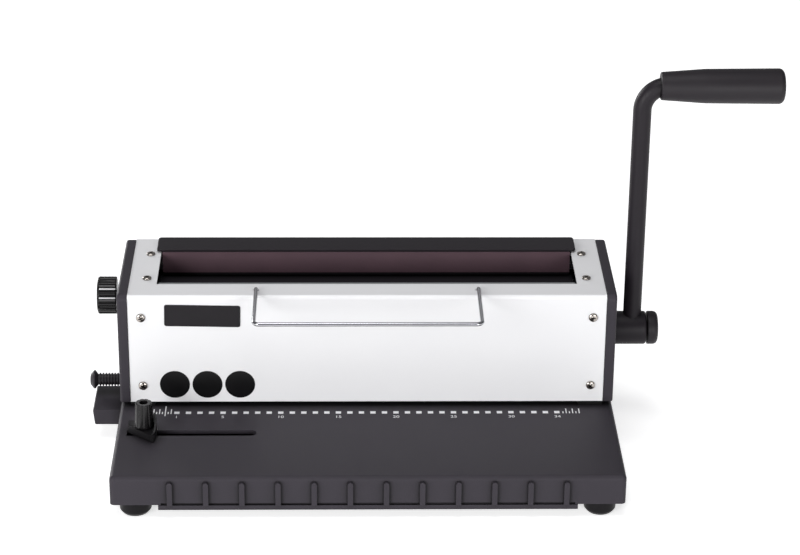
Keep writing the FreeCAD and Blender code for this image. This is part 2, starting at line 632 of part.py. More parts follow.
def sideCover(side, label):
    """Moulded side shell: a flat wall with a rim all round, round edges, and the throat's end let into its foot."""
    body = newBody(label)
    low, high = "table", "cover_top + side_rise"
    front, back = neg("side_proud"), "frame_back + cover_sheet + side_behind"
    grow(body, "YZ", span(side, "side_in", "side_out"), [rect((front, back), (low, high))])
    dress(body, "Fillet", "side_corner", along("x", z=(high,)))
    face = "%d * side_out" % side
    dress(body, "Fillet", "side_round",
          lambda edge: max(abs(x - val(face)) for x in (edge.BoundBox.XMin, edge.BoundBox.XMax)) < close)
    wall = "side_shell"
    sink(body, "YZ", span(side, "side_in", "side_out - " + wall),
         [rect(("%s + %s" % (front, wall), "%s - %s" % (back, wall)), ("table + " + wall, high + " - " + wall))])
    sink(body, "YZ", span(side, "side_in", "side_out"),
         [rect((front, front + " + side_mouth"), ("table", "cover_low"))])
    if side > 0:
        holes = [("circle", "shaft_depth", "shaft_z", "shaft_wide / 2 + side_hole_gap")]
    else:
        holes = [("circle", "dial_depth", "dial_z", "dial_rod / 2 + side_hole_gap")]
        sink(body, "YZ", span(side, "side_in", "side_out"),
             [rect(("margin_depth - margin_rod / 2 - stop_gap", "margin_depth + margin_rod / 2 + stop_gap"),
                   ("table", "margin_z + margin_rod / 2 + stop_gap"))])
    sink(body, "YZ", span(side, "side_in", "side_out"), holes)
    finish(label, body)


def screws():
    """Pan-head cover screws, and the bolts that hold the frames to what they carry."""
    head, wide = "screw_head / 2", "screw_wide / 2"
    pan = [(wide, "0"), (head, "0"), (head, "screw_rim"), (head + " * 2 / 3", "screw_dome"), ("0", "screw_dome")]
    upright = turnedShape([("0", "-screw_long"), (wide, "-screw_long")] + pan)
    through = "-(cover_sheet + frame_sheet)"
    back = turnedShape([("0", through), (wide, through)] + pan, "y")
    front = back.mirror(vec(), vec(0, 1, 0))
    group("cover_screws",
          [moved(upright, side("ear_screw_x"), y, "cover_top") for side in sides
           for y in ("ear_screw_front", "ear_screw_back")]
          + [moved(front, side("front_screw_x"), "0", z) for side in sides for z in wallScrewHeights()])
    group("rear_cover_screws", [moved(back, side("front_screw_x"), "frame_back + cover_sheet", z)
                                for side in sides for z in wallScrewHeights()])
    head, wide = "bolt_head / 2", "bolt_wide / 2"
    sunk = turnedShape([("0", "-floor_bolt_long"), (wide, "-floor_bolt_long"), (wide, "0"),
                        (head, "0"), (head, "frame_sheet / 2"), ("0", "frame_sheet / 2")])
    bolt = turnedShape([("0", "-bolt_long"), (wide, "-bolt_long"), (wide, "0"), (head, "0"),
                        (head, "bolt_head_high"), ("0", "bolt_head_high")], "x")
    mirrored = bolt.mirror(vec(), vec(1, 0, 0))
    shapes = [moved(sunk, side("floor_bolt_x"), y, "table + frame_sheet / 2") for side in sides
              for y in ("row_depth", "floor_bolt_y")]
    for shape, x in ((bolt, "frame_out"), (mirrored, neg("frame_out"))):
        shapes += [moved(shape, x, y, z) for y, z in webBolts()]
    group("frame_bolts", shapes)


def punchedPlate(label, plane_z, x, y, extra=()):
    """Plate with the row of square holes for the punch pins."""
    body = newBody(label)
    grow(body, "XY", plane_z, [rect(x, y)])
    for plane, depth, loops in extra:
        sink(body, plane, depth, loops)
    half = "(pin_wide / 2 + die_fit)"
    left = neg("row_half")
    hole = sink(body, "XY", plane_z, [rect((left + " - " + half, left + " + " + half),
                                           ("row_depth - " + half, "row_depth + " + half))])
    repeat(body, hole, "hole_count", "hole_pitch")
    finish(label, body)


def stopPlaces():
    return [neg("stop_spread"), "0", "stop_spread"]


def punchFixed():
    """Die, guide plate, spacers and guide posts."""
    back = "row_depth + die_behind"
    notches = [rect((x + " - stop_thick / 2 - stop_gap", x + " + stop_thick / 2 + stop_gap"),
                    ("margin_depth - stop_wide / 2 - stop_throw - stop_gap", back)) for x in stopPlaces()]
    low = "table - die_thick"
    boltHoles = [("circle", side("floor_bolt_x"), "row_depth", "bolt_wide / 2 + run_fit") for side in sides]
    punchedPlate("die_plate", (low, "table"), (neg("die_half"), "die_half"), ("row_depth - die_ahead", back),
                 [("XY", (low, "table"), notches), ("XY", (low, "table"), boltHoles)])
    posts = [("circle", side("post_x"), "row_depth", "post_wide / 2 + seat_fit") for side in sides]
    sideHole = [("circle", *webBolts()[0], "bolt_wide / 2 + run_fit")]
    punchedPlate("guide_plate", ("cover_low", "guide_top"), (neg("frame_in"), "frame_in"),
                 ("guide_plate_front", "guide_plate_back"),
                 [("XY", ("guide_top - post_socket", "guide_top"), posts)]
                 + [("YZ", span(side, "frame_out - bolt_long", "frame_in"), sideHole) for side in (-1, 1)])
    near = "flange_in - free_gap - spacer_wide"
    spacers = [box("spacer", span(side, near, "flange_in - free_gap"),
                   ("guide_plate_front", "guide_plate_back"), ("table", "cover_low")) for side in (-1, 1)]
    compound("throat_spacers", spacers)
    posts = [bar("post", "z", ("guide_top - post_socket", "guide_top - post_socket + post_long"),
                 (side("post_x"), "row_depth"), "post_wide / 2") for side in sides]
    compound("guide_posts", posts)


def compound(label, items):
    item = doc.addObject("Part::Compound", label)
    item.Links = items
    return finish(label, item)


def punchMoving():
    """Punch bar with the pins let into its underside and a rack at each end."""
    posts = [("circle", side("post_x"), "row_depth", "post_wide / 2 + run_fit") for side in sides]
    pockets = [("circle", side("post_x"), "row_depth", "spring_mean + spring_wire / 2 + spring_room")
               for side in sides]
    body = newBody("punch_bar")
    grow(body, "XY", ("bar_bottom", "bar_top"), [rect((neg("bar_half"), "bar_half"), ("bar_front", "bar_back"))])
    dress(body, "Chamfer", "bar_chamfer", along("x", z=("bar_top",)))
    sink(body, "XY", ("bar_bottom", "bar_top"), posts)
    sink(body, "XY", ("bar_bottom", "spring_roof"), pockets)
    half = "(pin_wide / 2 + seat_fit)"
    left = neg("row_half")
    hole = sink(body, "XY", ("bar_bottom", "bar_bottom + pin_socket"),
                [rect((left + " - " + half, left + " + " + half),
                      ("row_depth - " + half, "row_depth + " + half))])
    repeat(body, hole, "hole_count", "hole_pitch")
    finish("punch_bar", body)
    wide = val("pin_wide")
    top = val("bar_bottom + pin_socket")
    shapes = []
    for index in range(int(val("hole_count"))):
        low = val("guide_top - pin_entry") + index % int(val("step_count")) * val("pin_step")
        x = (index - (val("hole_count") - 1) / 2) * val("hole_pitch")
        corner = vec(x - wide / 2, val("row_depth") - wide / 2, low)
        shapes.append(Part.makeBox(wide, wide, top - low, corner))
    group("punch_pins", shapes)


def involute(base, radius):
    turn = math.sqrt(max(radius * radius / (base * base) - 1, 0))
    return turn - math.atan(turn)


def toothPoints(module, count):
    """Radii and half angles of a tooth at its root, middle and tip."""
    pitch = module * count / 2
    pressure = math.radians(val("pressure"))
    base = pitch * math.cos(pressure)
    half = math.pi / (2 * count) - val("backlash") / (4 * pitch) + involute(base, pitch)
    root, tip = pitch - val("dedendum") * module, pitch + module
    low = max(root, base)
    middle = (low + tip) / 2
    return root, [(radius, half - involute(base, radius)) for radius in (low, middle, tip)]


def gearFace(module, count, angles, closed):
    """Outline of involute teeth centred on the given angles, in the Y-Z plane about the shaft."""
    root, flank = toothPoints(module, count)

    def at(radius, angle):
        return vec(0, radius * math.cos(angle), radius * math.sin(angle))

    edges = []
    last = None
    first = None
    step = 2 * math.pi / count
    for angle in angles:
        up = [at(radius, angle - half) for radius, half in flank]
        down = [at(radius, angle + half) for radius, half in reversed(flank)]
        foot = at(root, angle - flank[0][1])
        if last is not None:
            edges.append(Part.Arc(last, at(root, angle - step / 2), foot).toShape())
        else:
            first = foot
        if (foot - up[0]).Length > 0.001:
            edges.append(Part.makeLine(foot, up[0]))
        edges.append(Part.Arc(*up).toShape())
        edges.append(Part.Arc(up[2], at(flank[2][0], angle), down[0]).toShape())
        edges.append(Part.Arc(*down).toShape())
        last = at(root, angle + flank[0][1])
        if (last - down[2]).Length > 0.001:
            edges.append(Part.makeLine(down[2], last))
    if closed:
        edges.append(Part.Arc(last, at(root, angles[-1] + step / 2), first).toShape())
    else:
        edges.append(Part.makeLine(last, vec()))
        edges.append(Part.makeLine(vec(), first))
    return Part.Face(Part.Wire(edges))


def driveShaft():
    """Main shaft with a pinion cut near each end, bored for the cross pins."""
    count = int(val("pinion_teeth"))
    step = 2 * math.pi / count
    face = gearFace(val("pinion_module"), count, [math.pi + step * index for index in range(count)], True)
    parts = [bar("shaft_core", "x", ("-(frame_out + shaft_end)", "hub_start + hub_grip"), ("shaft_depth", "shaft_z"),
                 "shaft_wide / 2")]
    for side in (-1, 1):
        start = span(side, "pinion_in", "pinion_in + pinion_wide")[0]
        teeth = face.extrude(vec(val("pinion_wide"), 0, 0))
        teeth.translate(vec(val(start), val("shaft_depth"), val("shaft_z")))
        parts.append(solid("pinion", teeth))
    shaft = cut("drive_shaft", join("shaft_solid", parts),
                [crossHole(x) for x in crossPinPlaces()])
    finish("drive_shaft", shaft)


def crossPinPlaces():
    centre = "closer_in + closer_wide / 2"
    return [neg(centre), centre, "hub_start + hub_grip / 2"]


def crossHole(x, radius="cross_pin / 2 + seat_fit", half="gear_hub_wide / 2 + over"):
    """Bar across the shaft, square to the middle of the toothed sector."""
    item = doc.addObject("Part::Cylinder", "cross_bar")
    direction = vec(0, -1, 1)
    item.Placement = FreeCAD.Placement(vec(), FreeCAD.Rotation(vec(0, 0, 1), direction))
    bind(item, "Radius", radius)
    bind(item, "Height", "2 * (%s)" % half)
    offset = "(%s) / sqrt(2)" % half
    return place(item, x, "shaft_depth + " + offset, "shaft_z - " + offset)


def closerGear(side, label):
    """Toothed sector on a hub; its middle points up and back at rest."""
    count = int(val("closer_teeth"))
    step = 2 * math.pi / count
    swept = int(round(val("lever_swing") / math.degrees(step))) + 2
    middle = math.pi / 2 - math.radians(val("lever_swing")) / 2
    start = math.pi / 2 + step / 2
    angles = [start - step * index for index in range(swept)][::-1]
    low, high = span(side, "closer_in", "closer_in + closer_wide")
    face = gearFace(val("closer_module"), count, angles, False)
    teeth = face.extrude(vec(val("closer_wide"), 0, 0))
    teeth.translate(vec(val(low), val("shaft_depth"), val("shaft_z")))
    centre = ("shaft_depth", "shaft_z")
    hub = bar("gear_hub", "x", (low, high), centre, "gear_hub_wide / 2")
    tools = [bar("gear_bore", "x", (low + " - over", high + " + over"), centre, "shaft_wide / 2 + seat_fit")]
    reach = val("hole_reach")
    for turn in (-1, 0, 1):
        start = vec(val(low + " - over"), 0, 0)
        hole = Part.makeCylinder(val("hole_wide / 2"), val("closer_wide + 2 * over"), start, vec(1, 0, 0))
        angle = middle + turn * math.radians(val("hole_turn"))
        across, up = reach * math.cos(angle), reach * math.sin(angle)
        hole.translate(vec(0, val("shaft_depth") + across, val("shaft_z") + up))
        tools.append(solid("lightening", hole))
    tools.append(crossHole(crossPinPlaces()[0 if side < 0 else 1]))
    finish(label, cut(label, join(label + "_solid", [solid("sector", teeth), hub]), tools))


def rackTeeth(module, centres):
    """Points along a straight rack, tooth by tooth: distance along and height from the pitch line."""
    slope = math.tan(math.radians(val("pressure")))
    half = math.pi * module / 4 - val("backlash") / 4
    depth = val("dedendum") * module
    points = []
    for centre in centres:
        for height, sign in ((-depth, -1), (module, -1), (module, 1), (-depth, 1)):
            points.append((centre + sign * (half - height * slope), height))
    return points


def punchRack(side, label):
    """Upright rack behind the punch bar, teeth towards the shaft."""
    module = val("pinion_module")
    step = math.pi * module
    travel = int(round(val("punch_travel") / step))
    line = val("punch_rack_line")
    back = val("bar_back")
    low, high = val("bar_bottom"), val("shaft_z") + (travel + 1) * step + step / 2
    centres = [val("shaft_z") + (index + 0.5) * step for index in range(-1, travel + 1)]
    root = line - val("dedendum") * module
    outlinePoints = [(root, low)]
    outlinePoints += [(line + height, along) for along, height in rackTeeth(module, centres)]
    outlinePoints += [(root, high), (back, high), (back, low)]
    x, far = span(side, "pinion_in", "pinion_in + pinion_wide - rack_narrow")
    points = [vec(val(x), y, z) for y, z in outlinePoints]
    face = Part.Face(Part.makePolygon(points + points[:1]))
    finish(label, solid(label, face.extrude(vec(val(far) - val(x), 0, 0))))


def closerSlide(side, label):
    """Block on the guide rod, with the closer's rack under it and a tongue into the press bar."""
    module = val("closer_module")
    step = math.pi * module
    travel = int(round(val("closer_travel") / step))
    line = val("closer_rack_line")
    root = line + val("dedendum") * module
    centres = [val("shaft_depth") + index * step for index in range(travel)]
    top, back = val("guide_rod_z - guide_rod_wide / 2 - stop_gap"), val("slide_back")
    outlinePoints = [(centres[0] - step / 2, top), (centres[0] - step / 2, root)]
    outlinePoints += [(along, line - height) for along, height in rackTeeth(module, centres)]
    outlinePoints += [(back, root), (back, top)]
    x, far = span(side, "closer_in", "closer_in + closer_wide")
    points = [vec(val(x), y, z) for y, z in outlinePoints]
    rack = Part.Face(Part.makePolygon(points + points[:1])).extrude(vec(val(far) - val(x), 0, 0))
    block = box("slide_block", span(side, "slide_in", "frame_in - stop_gap"), ("slide_front", "slide_back"),
                ("slide_low", "slide_top"))
    tongue = box("slide_tongue", span(side, "web_half - tongue_in", "slide_in + over"),
                 ("slide_back - tongue_back - tongue_long", "slide_back - tongue_back"),
                 ("tongue_low", "tongue_low + tongue_high"))
    bore = bar("slide_bore", "y", ("slide_front - over", "slide_back + over"),
               ("%d * guide_rod_x" % side, "guide_rod_z"), "guide_rod_wide / 2 + run_fit")
    finish(label, cut(label, join(label + "_solid", [solid("closer_rack", rack), block, tongue]), [bore]))


def closerFixed():
    """Tie bars, trough floor, anvil bar, and the guide rods with their front supports."""
    for label, middle in (("tie_bar_front", "front_tie_y"), ("tie_bar_rear", "rear_tie_y")):
        piece = box(label + "_bar", (neg("frame_in"), "frame_in"),
                    (middle + " - tie_deep / 2", middle + " + tie_deep / 2"), ("tie_low", "tie_top"))
        holes = [bar("tie_hole", "x", span(side, "frame_out - bolt_long", "frame_in + over"),
                     (middle, "tie_low + tie_high / 2"), "bolt_wide / 2 + run_fit") for side in (-1, 1)]
        finish(label, cut(label, piece, holes))
    body = newBody("trough_floor")
    front, back = "front_tie_y - tie_deep / 2 + floor_lap", "rear_tie_y + tie_deep / 2 - floor_lap"
    half = "flange_in - floor_gap"
    grow(body, "YZ", (neg(half), half),
         [[(front, "tie_top"), (front + " + floor_sheet", "tie_top"),
           (front + " + floor_sheet", "floor_top - floor_sheet"),
           (back + " - floor_sheet", "floor_top - floor_sheet"),
           (back + " - floor_sheet", "tie_top"), (back, "tie_top"), (back, "floor_top"), (front, "floor_top")]])
    finish("trough_floor", body)
    body = newBody("anvil_bar")
    front = "trough_front + anvil_gap"
    depth = (front, front + " + anvil_thick")
    top = "frame_top - frame_sheet"
    grow(body, "XZ", depth, [[(neg("web_half"), "floor_top"), ("web_half", "floor_top"),
                              ("web_half", top + " - lug_high"), ("frame_in", top + " - lug_high"),
                              ("frame_in", top), ("web_half", top), ("web_half", "frame_top - anvil_gap"),
                              (neg("web_half"), "frame_top - anvil_gap"), (neg("web_half"), top),
                              (neg("frame_in"), top), (neg("frame_in"), top + " - lug_high"),
                              (neg("web_half"), top + " - lug_high")]])
    finish("anvil_bar", body)
    rods, supports = [], []
    for side in (-1, 1):
        centre = ("%d * guide_rod_x" % side, "guide_rod_z")
        rods.append(bar("closer_rod", "y", ("front_tie_y - tie_deep / 2 + over", "frame_back - frame_sheet"),
                        centre, "guide_rod_wide / 2"))
        block = box("support_block", span(side, "closer_in", "frame_in"),
                    ("front_tie_y - tie_deep / 2", "front_tie_y + tie_deep / 2"),
                    ("guide_rod_z - guide_rod_wide / 2 + support_gap", top))
        bore = bar("support_bore", "y", ("front_tie_y - tie_deep", "front_tie_y + tie_deep"), centre,
                   "guide_rod_wide / 2 + seat_fit")
        supports.append(cut("rod_support", block, [bore]))
    compound("closer_rods", rods)
    compound("rod_supports", supports)


def pressBar():
    """Channel that pushes the wire, with a wide flange on top and a magnet strip in front."""
    body = newBody("press_bar")
    front, back = "press_front", "press_front + flange_deep"
    web = front + " + bar_web"
    high = "press_top - flange_thick"
    grow(body, "YZ", (neg("web_half"), "web_half"),
         [[(front, "channel_low"), (back + " - press_lip", "channel_low"), (back + " - press_lip", "tongue_low"),
           (web, "tongue_low"), (web, high), (front, high)]])
    grow(body, "YZ", (neg("flange_half"), "flange_half"), [rect((front, back), (high, "press_top"))])
    dress(body, "Fillet", "flange_corner", along("z", x=(neg("flange_half"), "flange_half")))
    dress(body, "Fillet", "flange_edge", lambda edge: edge.BoundBox.ZMin > val("press_top") - close)
    finish("press_bar", body)
    strip = box("strip", (neg("web_half"), "web_half"), (front + " - strip_thick", front),
                ("tongue_low", high))
    finish("magnet_strip", strip)


def bushes():
    """Flanged bronze bushes in the webs, for the shaft and for the dial."""
    def profile(wide):
        bore, body = wide + " / 2 + run_fit", wide + " / 2 + bush_wall"
        rim, length = body + " + bush_rim", "bush_flange + frame_sheet + bush_proud"
        return [(bore, "0"), (rim, "0"), (rim, "bush_flange"), (body, "bush_flange"), (body, length), (bore, length)]
    bush = turnedShape(profile("shaft_wide"), "x")
    other = bush.mirror(vec(), vec(1, 0, 0))
    group("shaft_bushes", [moved(bush, "frame_in - bush_flange", "shaft_depth", "shaft_z"),
                           moved(other, "-(frame_in - bush_flange)", "shaft_depth", "shaft_z")])
    small = turnedShape(profile("dial_rod"), "x").mirror(vec(), vec(1, 0, 0))
    group("dial_bush", [moved(small, "-(frame_in - bush_flange)", "dial_depth", "dial_z")])


def springs():
    """Return springs round the guide posts."""
    wire, mean = val("spring_wire"), val("spring_mean")
    low, high = val("guide_top"), val("spring_roof")
    pitch = (high - low - wire) / val("spring_turns")
    for side, label in ((-1, "return_spring_left"), (1, "return_spring_right")):
        centre = vec(side * val("post_x"), val("row_depth"), low + wire / 2)
        helix = Part.makeHelix(pitch, high - low - wire, mean)
        helix.translate(centre)
        start = centre + vec(mean, 0, 0)
        face = Part.Wire(Part.makeCircle(wire / 2, start, vec(0, 1, pitch / (2 * math.pi * mean))))
        coil = Part.Wire(helix).makePipeShell([face], True, True)
        finish(label, solid(label, coil))


def lever():
    """Hub, painted tube, grip, end cap and the pins that hold them to the shaft."""
    centre = ("shaft_depth", "shaft_z")
    end = "hub_start + hub_long"
    hub = turned("lever_hub_turn", "x", "hub_start", centre,
                 [("0", "0"), ("hub_wide / 2 - hub_edge", "0"), ("hub_wide / 2", "hub_edge"),
                  ("hub_wide / 2", "hub_long - hub_edge"), ("hub_wide / 2 - hub_edge", "hub_long"),
                  ("0", "hub_long")])
    socketLow = "shaft_z - rod_wide / 2"
    tools = [bar("hub_bore", "x", ("hub_start - over", "hub_start + hub_grip + run_fit"), centre,
                 "shaft_wide / 2 + seat_fit"),
             bar("hub_socket", "z", (socketLow, "shaft_z + hub_wide"), ("rod_x", "shaft_depth"),
                 "rod_wide / 2 + seat_fit"),
             bar("cap_hole", "x", (end + " - cap_spigot", end + " + over"), centre,
                 "cap_spigot_wide / 2 + seat_fit"),
             crossHole(crossPinPlaces()[2])]
    finish("lever_hub", cut("lever_hub", hub, tools))
    spigot, collar, rim = "cap_spigot_wide / 2", "cap_collar / 2", "cap_spigot + cap_gap"
    cap = turned("end_cap", "x", end + " - cap_spigot", centre,
                 [("0", "0"), (spigot, "0"), (spigot, "cap_spigot"), (collar, "cap_spigot"), (collar, rim),
                  ("hub_wide / 2", rim), ("hub_wide / 2", rim + " + cap_long"),
                  ("hub_wide / 2 - cap_bevel", rim + " + cap_long + cap_bevel"),
                  ("0", rim + " + cap_long + cap_bevel")])
    finish("end_cap", cap)
    radius, bend = val("rod_wide / 2"), val("rod_bend")
    x, y, top = val("rod_x"), val("shaft_depth"), val("lever_z")
    low = val(socketLow)
    corner = vec(x, y, top - bend)
    turn = vec(x + bend, y, top)
    middle = vec(x + bend * (1 - math.sqrt(0.5)), y, top - bend * (1 - math.sqrt(0.5)))
    path = Part.Wire([Part.makeLine(vec(x, y, low), corner), Part.Arc(corner, middle, turn).toShape(),
                      Part.makeLine(turn, vec(val("grip_end - rod_tip"), y, top))])
    profile = Part.Wire(Part.makeCircle(radius, vec(x, y, low), vec(0, 0, 1)))
    finish("lever_rod", solid("lever_rod", path.makePipeShell([profile], True, False)))
    neck, wide = "grip_neck / 2", "grip_wide / 2"
    end = "(grip_wide + grip_swell) / 2"
    bore = "rod_wide / 2 + seat_fit"
    rounded = "grip_long - grip_round"
    grip = turned("lever_grip", "x", "grip_start", ("shaft_depth", "lever_z"),
                  [(bore + " + grip_relief", "0"), (neck + " - grip_edge", "0"), (neck, "grip_edge"),
                   (wide, "grip_taper"), (end, rounded, end + " - grip_round", rounded, "left"),
                   (end + " - grip_round", "grip_long"), ("0", "grip_long"), ("0", "grip_long - rod_tip"),
                   (bore, "grip_long - rod_tip"), (bore, "grip_relief_long")])
    finish("lever_grip", grip)
    pins = [crossHole(x, "cross_pin / 2", "gear_hub_wide / 2 - cross_short") for x in crossPinPlaces()]
    compound("gear_pins", pins[:2])
    finish("hub_pin", pins[2])
    stopArm()


def stopArm():
    """Arm on the shaft that comes round to the size cam at the end of the stroke."""
    x = ("-(frame_in - bush_flange - free_gap)", "-(frame_in - bush_flange - free_gap - arm_thick)")
    body = newBody("stop_arm")
    centre = ("shaft_depth", "shaft_z")
    grow(body, "YZ", x, [("circle", centre[0], centre[1], "gear_hub_wide / 2 - stop_gap")])
    grow(body, "YZ", x, [rect(("shaft_depth - arm_wide / 2", "shaft_depth + arm_wide / 2"),
                              ("shaft_z - arm_reach", "shaft_z"))])
    dress(body, "Fillet", "arm_round", along("x", z=("shaft_z - arm_reach",)))
    sink(body, "YZ", x, [("circle", centre[0], centre[1], "shaft_wide / 2 + seat_fit")])
    finish("stop_arm", body)


def dial():
    """Fluted knob for the closing size, its shaft and its cam."""
    centre = ("dial_depth", "dial_z")
    wide = "dial_wide / 2"
    start = neg("dial_out")
    full = "dial_long + dial_collar"
    rounded = wide + " - dial_round"
    knob = turned("dial_turn", "x", start, centre,
                  [("0", "0"), (rounded, "0", rounded, "dial_round", "left"), (wide, "dial_round"),
                   (wide, "dial_long"),
                   (wide + " - dial_neck", "dial_long"), (wide + " - dial_neck", full), ("0", full)])
    socket = start + " + dial_socket"
    tools = [bar("dial_socket_bore", "x", (socket, start + " + over + " + full), centre, "dial_rod / 2 + seat_fit")]
    count = int(val("dial_flutes"))
    reach = val(wide + " + dial_flute_out")
    for index in range(count):
        turn = math.pi * (2 * index + 1) / count
        begin = vec(val(start + " + dial_flute_start"), 0, 0)
        flute = Part.makeCylinder(val("dial_flute / 2"), val("dial_long - dial_flute_start"), begin, vec(1, 0, 0))
        flute.translate(vec(0, val("dial_depth") + reach * math.cos(turn), val("dial_z") + reach * math.sin(turn)))
        tools.append(solid("flute", flute))
    finish("dial_knob", cut("dial_knob", knob, tools))
    inner = "-(frame_in - bush_flange - free_gap)"
    finish("dial_shaft", bar("dial_rod_bar", "x", (socket, inner), centre, "dial_rod / 2"))
    cam = bar("size_cam", "x", (inner, inner + " + arm_thick"), ("dial_depth + cam_throw", "dial_z"), "cam_wide / 2")
    finish("size_cam", cam)


def marginStops():
    """Mushroom knob, shaft and three eccentric discs that stop the paper's edge."""
    centre = ("margin_depth", "margin_z")
    head, barrel = "margin_head / 2", "margin_barrel / 2"
    whole = "(margin_head_long + margin_barrel_long)"
    knob = turned("margin_turn", "x", neg("margin_out"), centre,
                  [("0", "0"), ("margin_tip / 2", "0"), (head + " - margin_shoulder", "margin_shoulder_high"),
                   (head, "margin_dome"), (head, "margin_dome + margin_rim"),
                   (barrel, "margin_head_long"), (barrel, whole),
                   ("0", whole)])
    rodStart = "-(margin_out - margin_socket)"
    socket = bar("margin_socket_bore", "x", (rodStart, "-(margin_out - %s - over)" % whole), centre,
                 "margin_rod / 2 + seat_fit")
    finish("margin_knob", cut("margin_knob", knob, [socket]))
    finish("margin_shaft", bar("margin_rod_bar", "x", (rodStart, "frame_in"), centre, "margin_rod / 2"))
    discs = []
    for x in stopPlaces():
        limits = (x + " - stop_thick / 2", x + " + stop_thick / 2")
        disc = bar("stop_disc", "x", limits, ("margin_depth - stop_throw", "margin_z"), "stop_wide / 2")
        bore = bar("stop_bore", "x", (limits[0] + " - over", limits[1] + " + over"), centre,
                   "margin_rod / 2 + seat_fit")
        discs.append(cut("margin_stop", disc, [bore]))
    compound("margin_stops", discs)
    bearings = []
    for side in (-1, 1):
        x = span(side, "frame_in - bearing_long", "frame_in")
        block = box("bearing_block", x, ("margin_depth - bearing_wide / 2", "margin_depth + bearing_wide / 2"),
                    ("table - bearing_foot", "margin_z + margin_rod / 2 + bearing_over"))
        bore = bar("bearing_bore", "x", (x[0] + " - over", x[1] + " + over"), centre, "margin_rod / 2 + run_fit")
        bearings.append(cut("margin_bearing", block, [bore]))
    compound("margin_bearings", bearings)


def chipTray():
    """Long open tray whose drafted end is its own pull."""
    body = newBody("chip_tray")
    left = neg("tray_out")
    grow(body, "XZ", ("tray_front", "tray_back"),
         [[(left + " + tray_draft", "tray_low"), ("tray_end", "tray_low"), ("tray_end", "tray_top"),
           (left, "tray_top")]])
    sink(body, "XY", ("tray_low + tray_wall", "tray_top"),
         [rect(("-(base_half - base_wall)", "tray_end - tray_wall"),
               ("tray_front + tray_wall", "tray_back - tray_wall"))])
    dress(body, "Fillet", "tray_round", lambda edge: edge.BoundBox.XMax < val(left + " + tray_draft") + close)
    finish("chip_tray", body)


def guide():
    """Paper stop on the table: foot with a bowed fence, the sliding nut below and the clamp knob."""
    body = newBody("paper_guide")
    edge = "-(guide_at - fence_in)"
    front, rear = "-(slot_depth + fence_ahead)", "-(slot_depth - fence_behind)"
    left, leftRear = "-(guide_at + foot_left)", "-(slot_depth - foot_left_behind)"
    inner = edge + " - fence_thick"
    roof = "guide_roof + fence_high"
    grow(body, "XY", ("guide_low", "guide_roof"),
         [[(edge + " - foot_tip", front), (edge, front), (edge, rear), (inner, rear),
           (edge + " - foot_web", leftRear), (left, leftRear), (left, "-(slot_depth - foot_left_ahead)")]])
    chord = "((fence_ahead + fence_behind) / 2)"
    radius = "(%s * %s + fence_bow * fence_bow) / (2 * fence_bow)" % (chord, chord)
    middle = ("%s + fence_bow - %s" % (edge, radius), "(%s + %s) / 2" % (front, rear))
    grow(body, "XY", ("guide_low", roof),
         [[(edge, front, middle[0], middle[1], "left"), (edge, rear),
           (inner, rear, middle[0] + " - fence_thick", middle[1], "right"), (inner, front)]])
    sink(body, "YZ", (inner + " - over", edge + " + fence_bow + over"),
         [[(front + " - over", "guide_roof + over"), (front + " + fence_toe", "guide_roof + over"),
           (front + " + fence_slope", roof), (front + " + fence_slope", roof + " + over"),
           (front + " - over", roof + " + over")]])
    centre = (neg("guide_at"), neg("slot_depth"))
    sink(body, "XY", ("guide_low", "guide_roof"), [("circle", centre[0], centre[1], "guide_screw / 2 + run_fit")])
    finish("paper_guide", body)
    guideNut(centre)
    guideKnob(centre)


def guideNut(centre):
    """Nut that slides under the table, with a square neck in the slot."""
    def around(*reach):
        return rect(*[("%s - %s" % (at, half), "%s + %s" % (at, half)) for at, half in zip(centre, reach)])
    ceiling = "table - base_wall - free_gap"
    body = newBody("guide_slider")
    grow(body, "XY", ("table - base_wall - over", "guide_low"),
         [around("nut_long / 2", "(slot_wide / 2 - nut_gap)")])
    grow(body, "XY", (ceiling + " - nut_plate", ceiling), [around("nut_plate_long / 2", "nut_plate_wide / 2")])
    sink(body, "XY", (ceiling + " - nut_plate", "guide_low"),
         [("circle", centre[0], centre[1], "guide_screw / 2 + run_fit")])
    finish("guide_slider", body)


def guideKnob(centre):
    """Tall fluted knob with a hollow top and its own screw."""
    wide, thread = "guide_knob_wide / 2", "guide_screw / 2"
    start = "table - base_wall - nut_plate - over"
    upper = wide + " - guide_knob_taper"
    seat = "(guide_roof + free_gap) - (%s)" % start
    top = seat + " + guide_knob_high"
    knob = turned("guide_knob_turn", "z", start, centre,
                  [("0", "0"), (thread, "0"), (thread, seat), (wide, seat), (upper, top + " - guide_knob_edge"),
                   (upper + " - guide_knob_edge", top), ("guide_knob_cup / 2", top),
                   ("guide_knob_cup / 2", top + " - guide_cup_deep"), ("0", top + " - guide_cup_deep")])
    flutes = []
    count = int(val("guide_flutes"))
    reach = val(wide + " + guide_flute_out")
    low = vec(0, 0, val("guide_roof + guide_flute_start"))
    for index in range(count):
        turn = 2 * math.pi * index / count
        out = vec(math.cos(turn), math.sin(turn), 0)
        rise = vec(0, 0, val("guide_knob_high")) - out * val("guide_knob_taper")
        flute = Part.makeCylinder(val("guide_flute / 2"), val("guide_knob_high + over"), low + out * reach, rise)
        flute.translate(vec(val(centre[0]), val(centre[1]), 0))
        flutes.append(solid("knob_flute", flute))
    finish("guide_knob", cut("guide_knob", knob, flutes))


def wireRack():
    """One bent wire: two legs down into the cover's holes and a rail in front."""
    radius, bend = val("rack_wire / 2"), val("rack_bend")
    x, y, z, reach = val("rack_half"), val("rack_hole_depth"), val("rack_z"), val("rack_reach")
    low = z - val("rack_leg")
    corners = [vec(-x, y, low), vec(-x, y, z), vec(-x, -reach, z), vec(x, -reach, z), vec(x, y, z), vec(x, y, low)]
    foot = val("rack_foot_bend")
    finish("wire_rack", solid("wire_rack", bentWire(corners, [foot, bend, bend, foot], radius)))


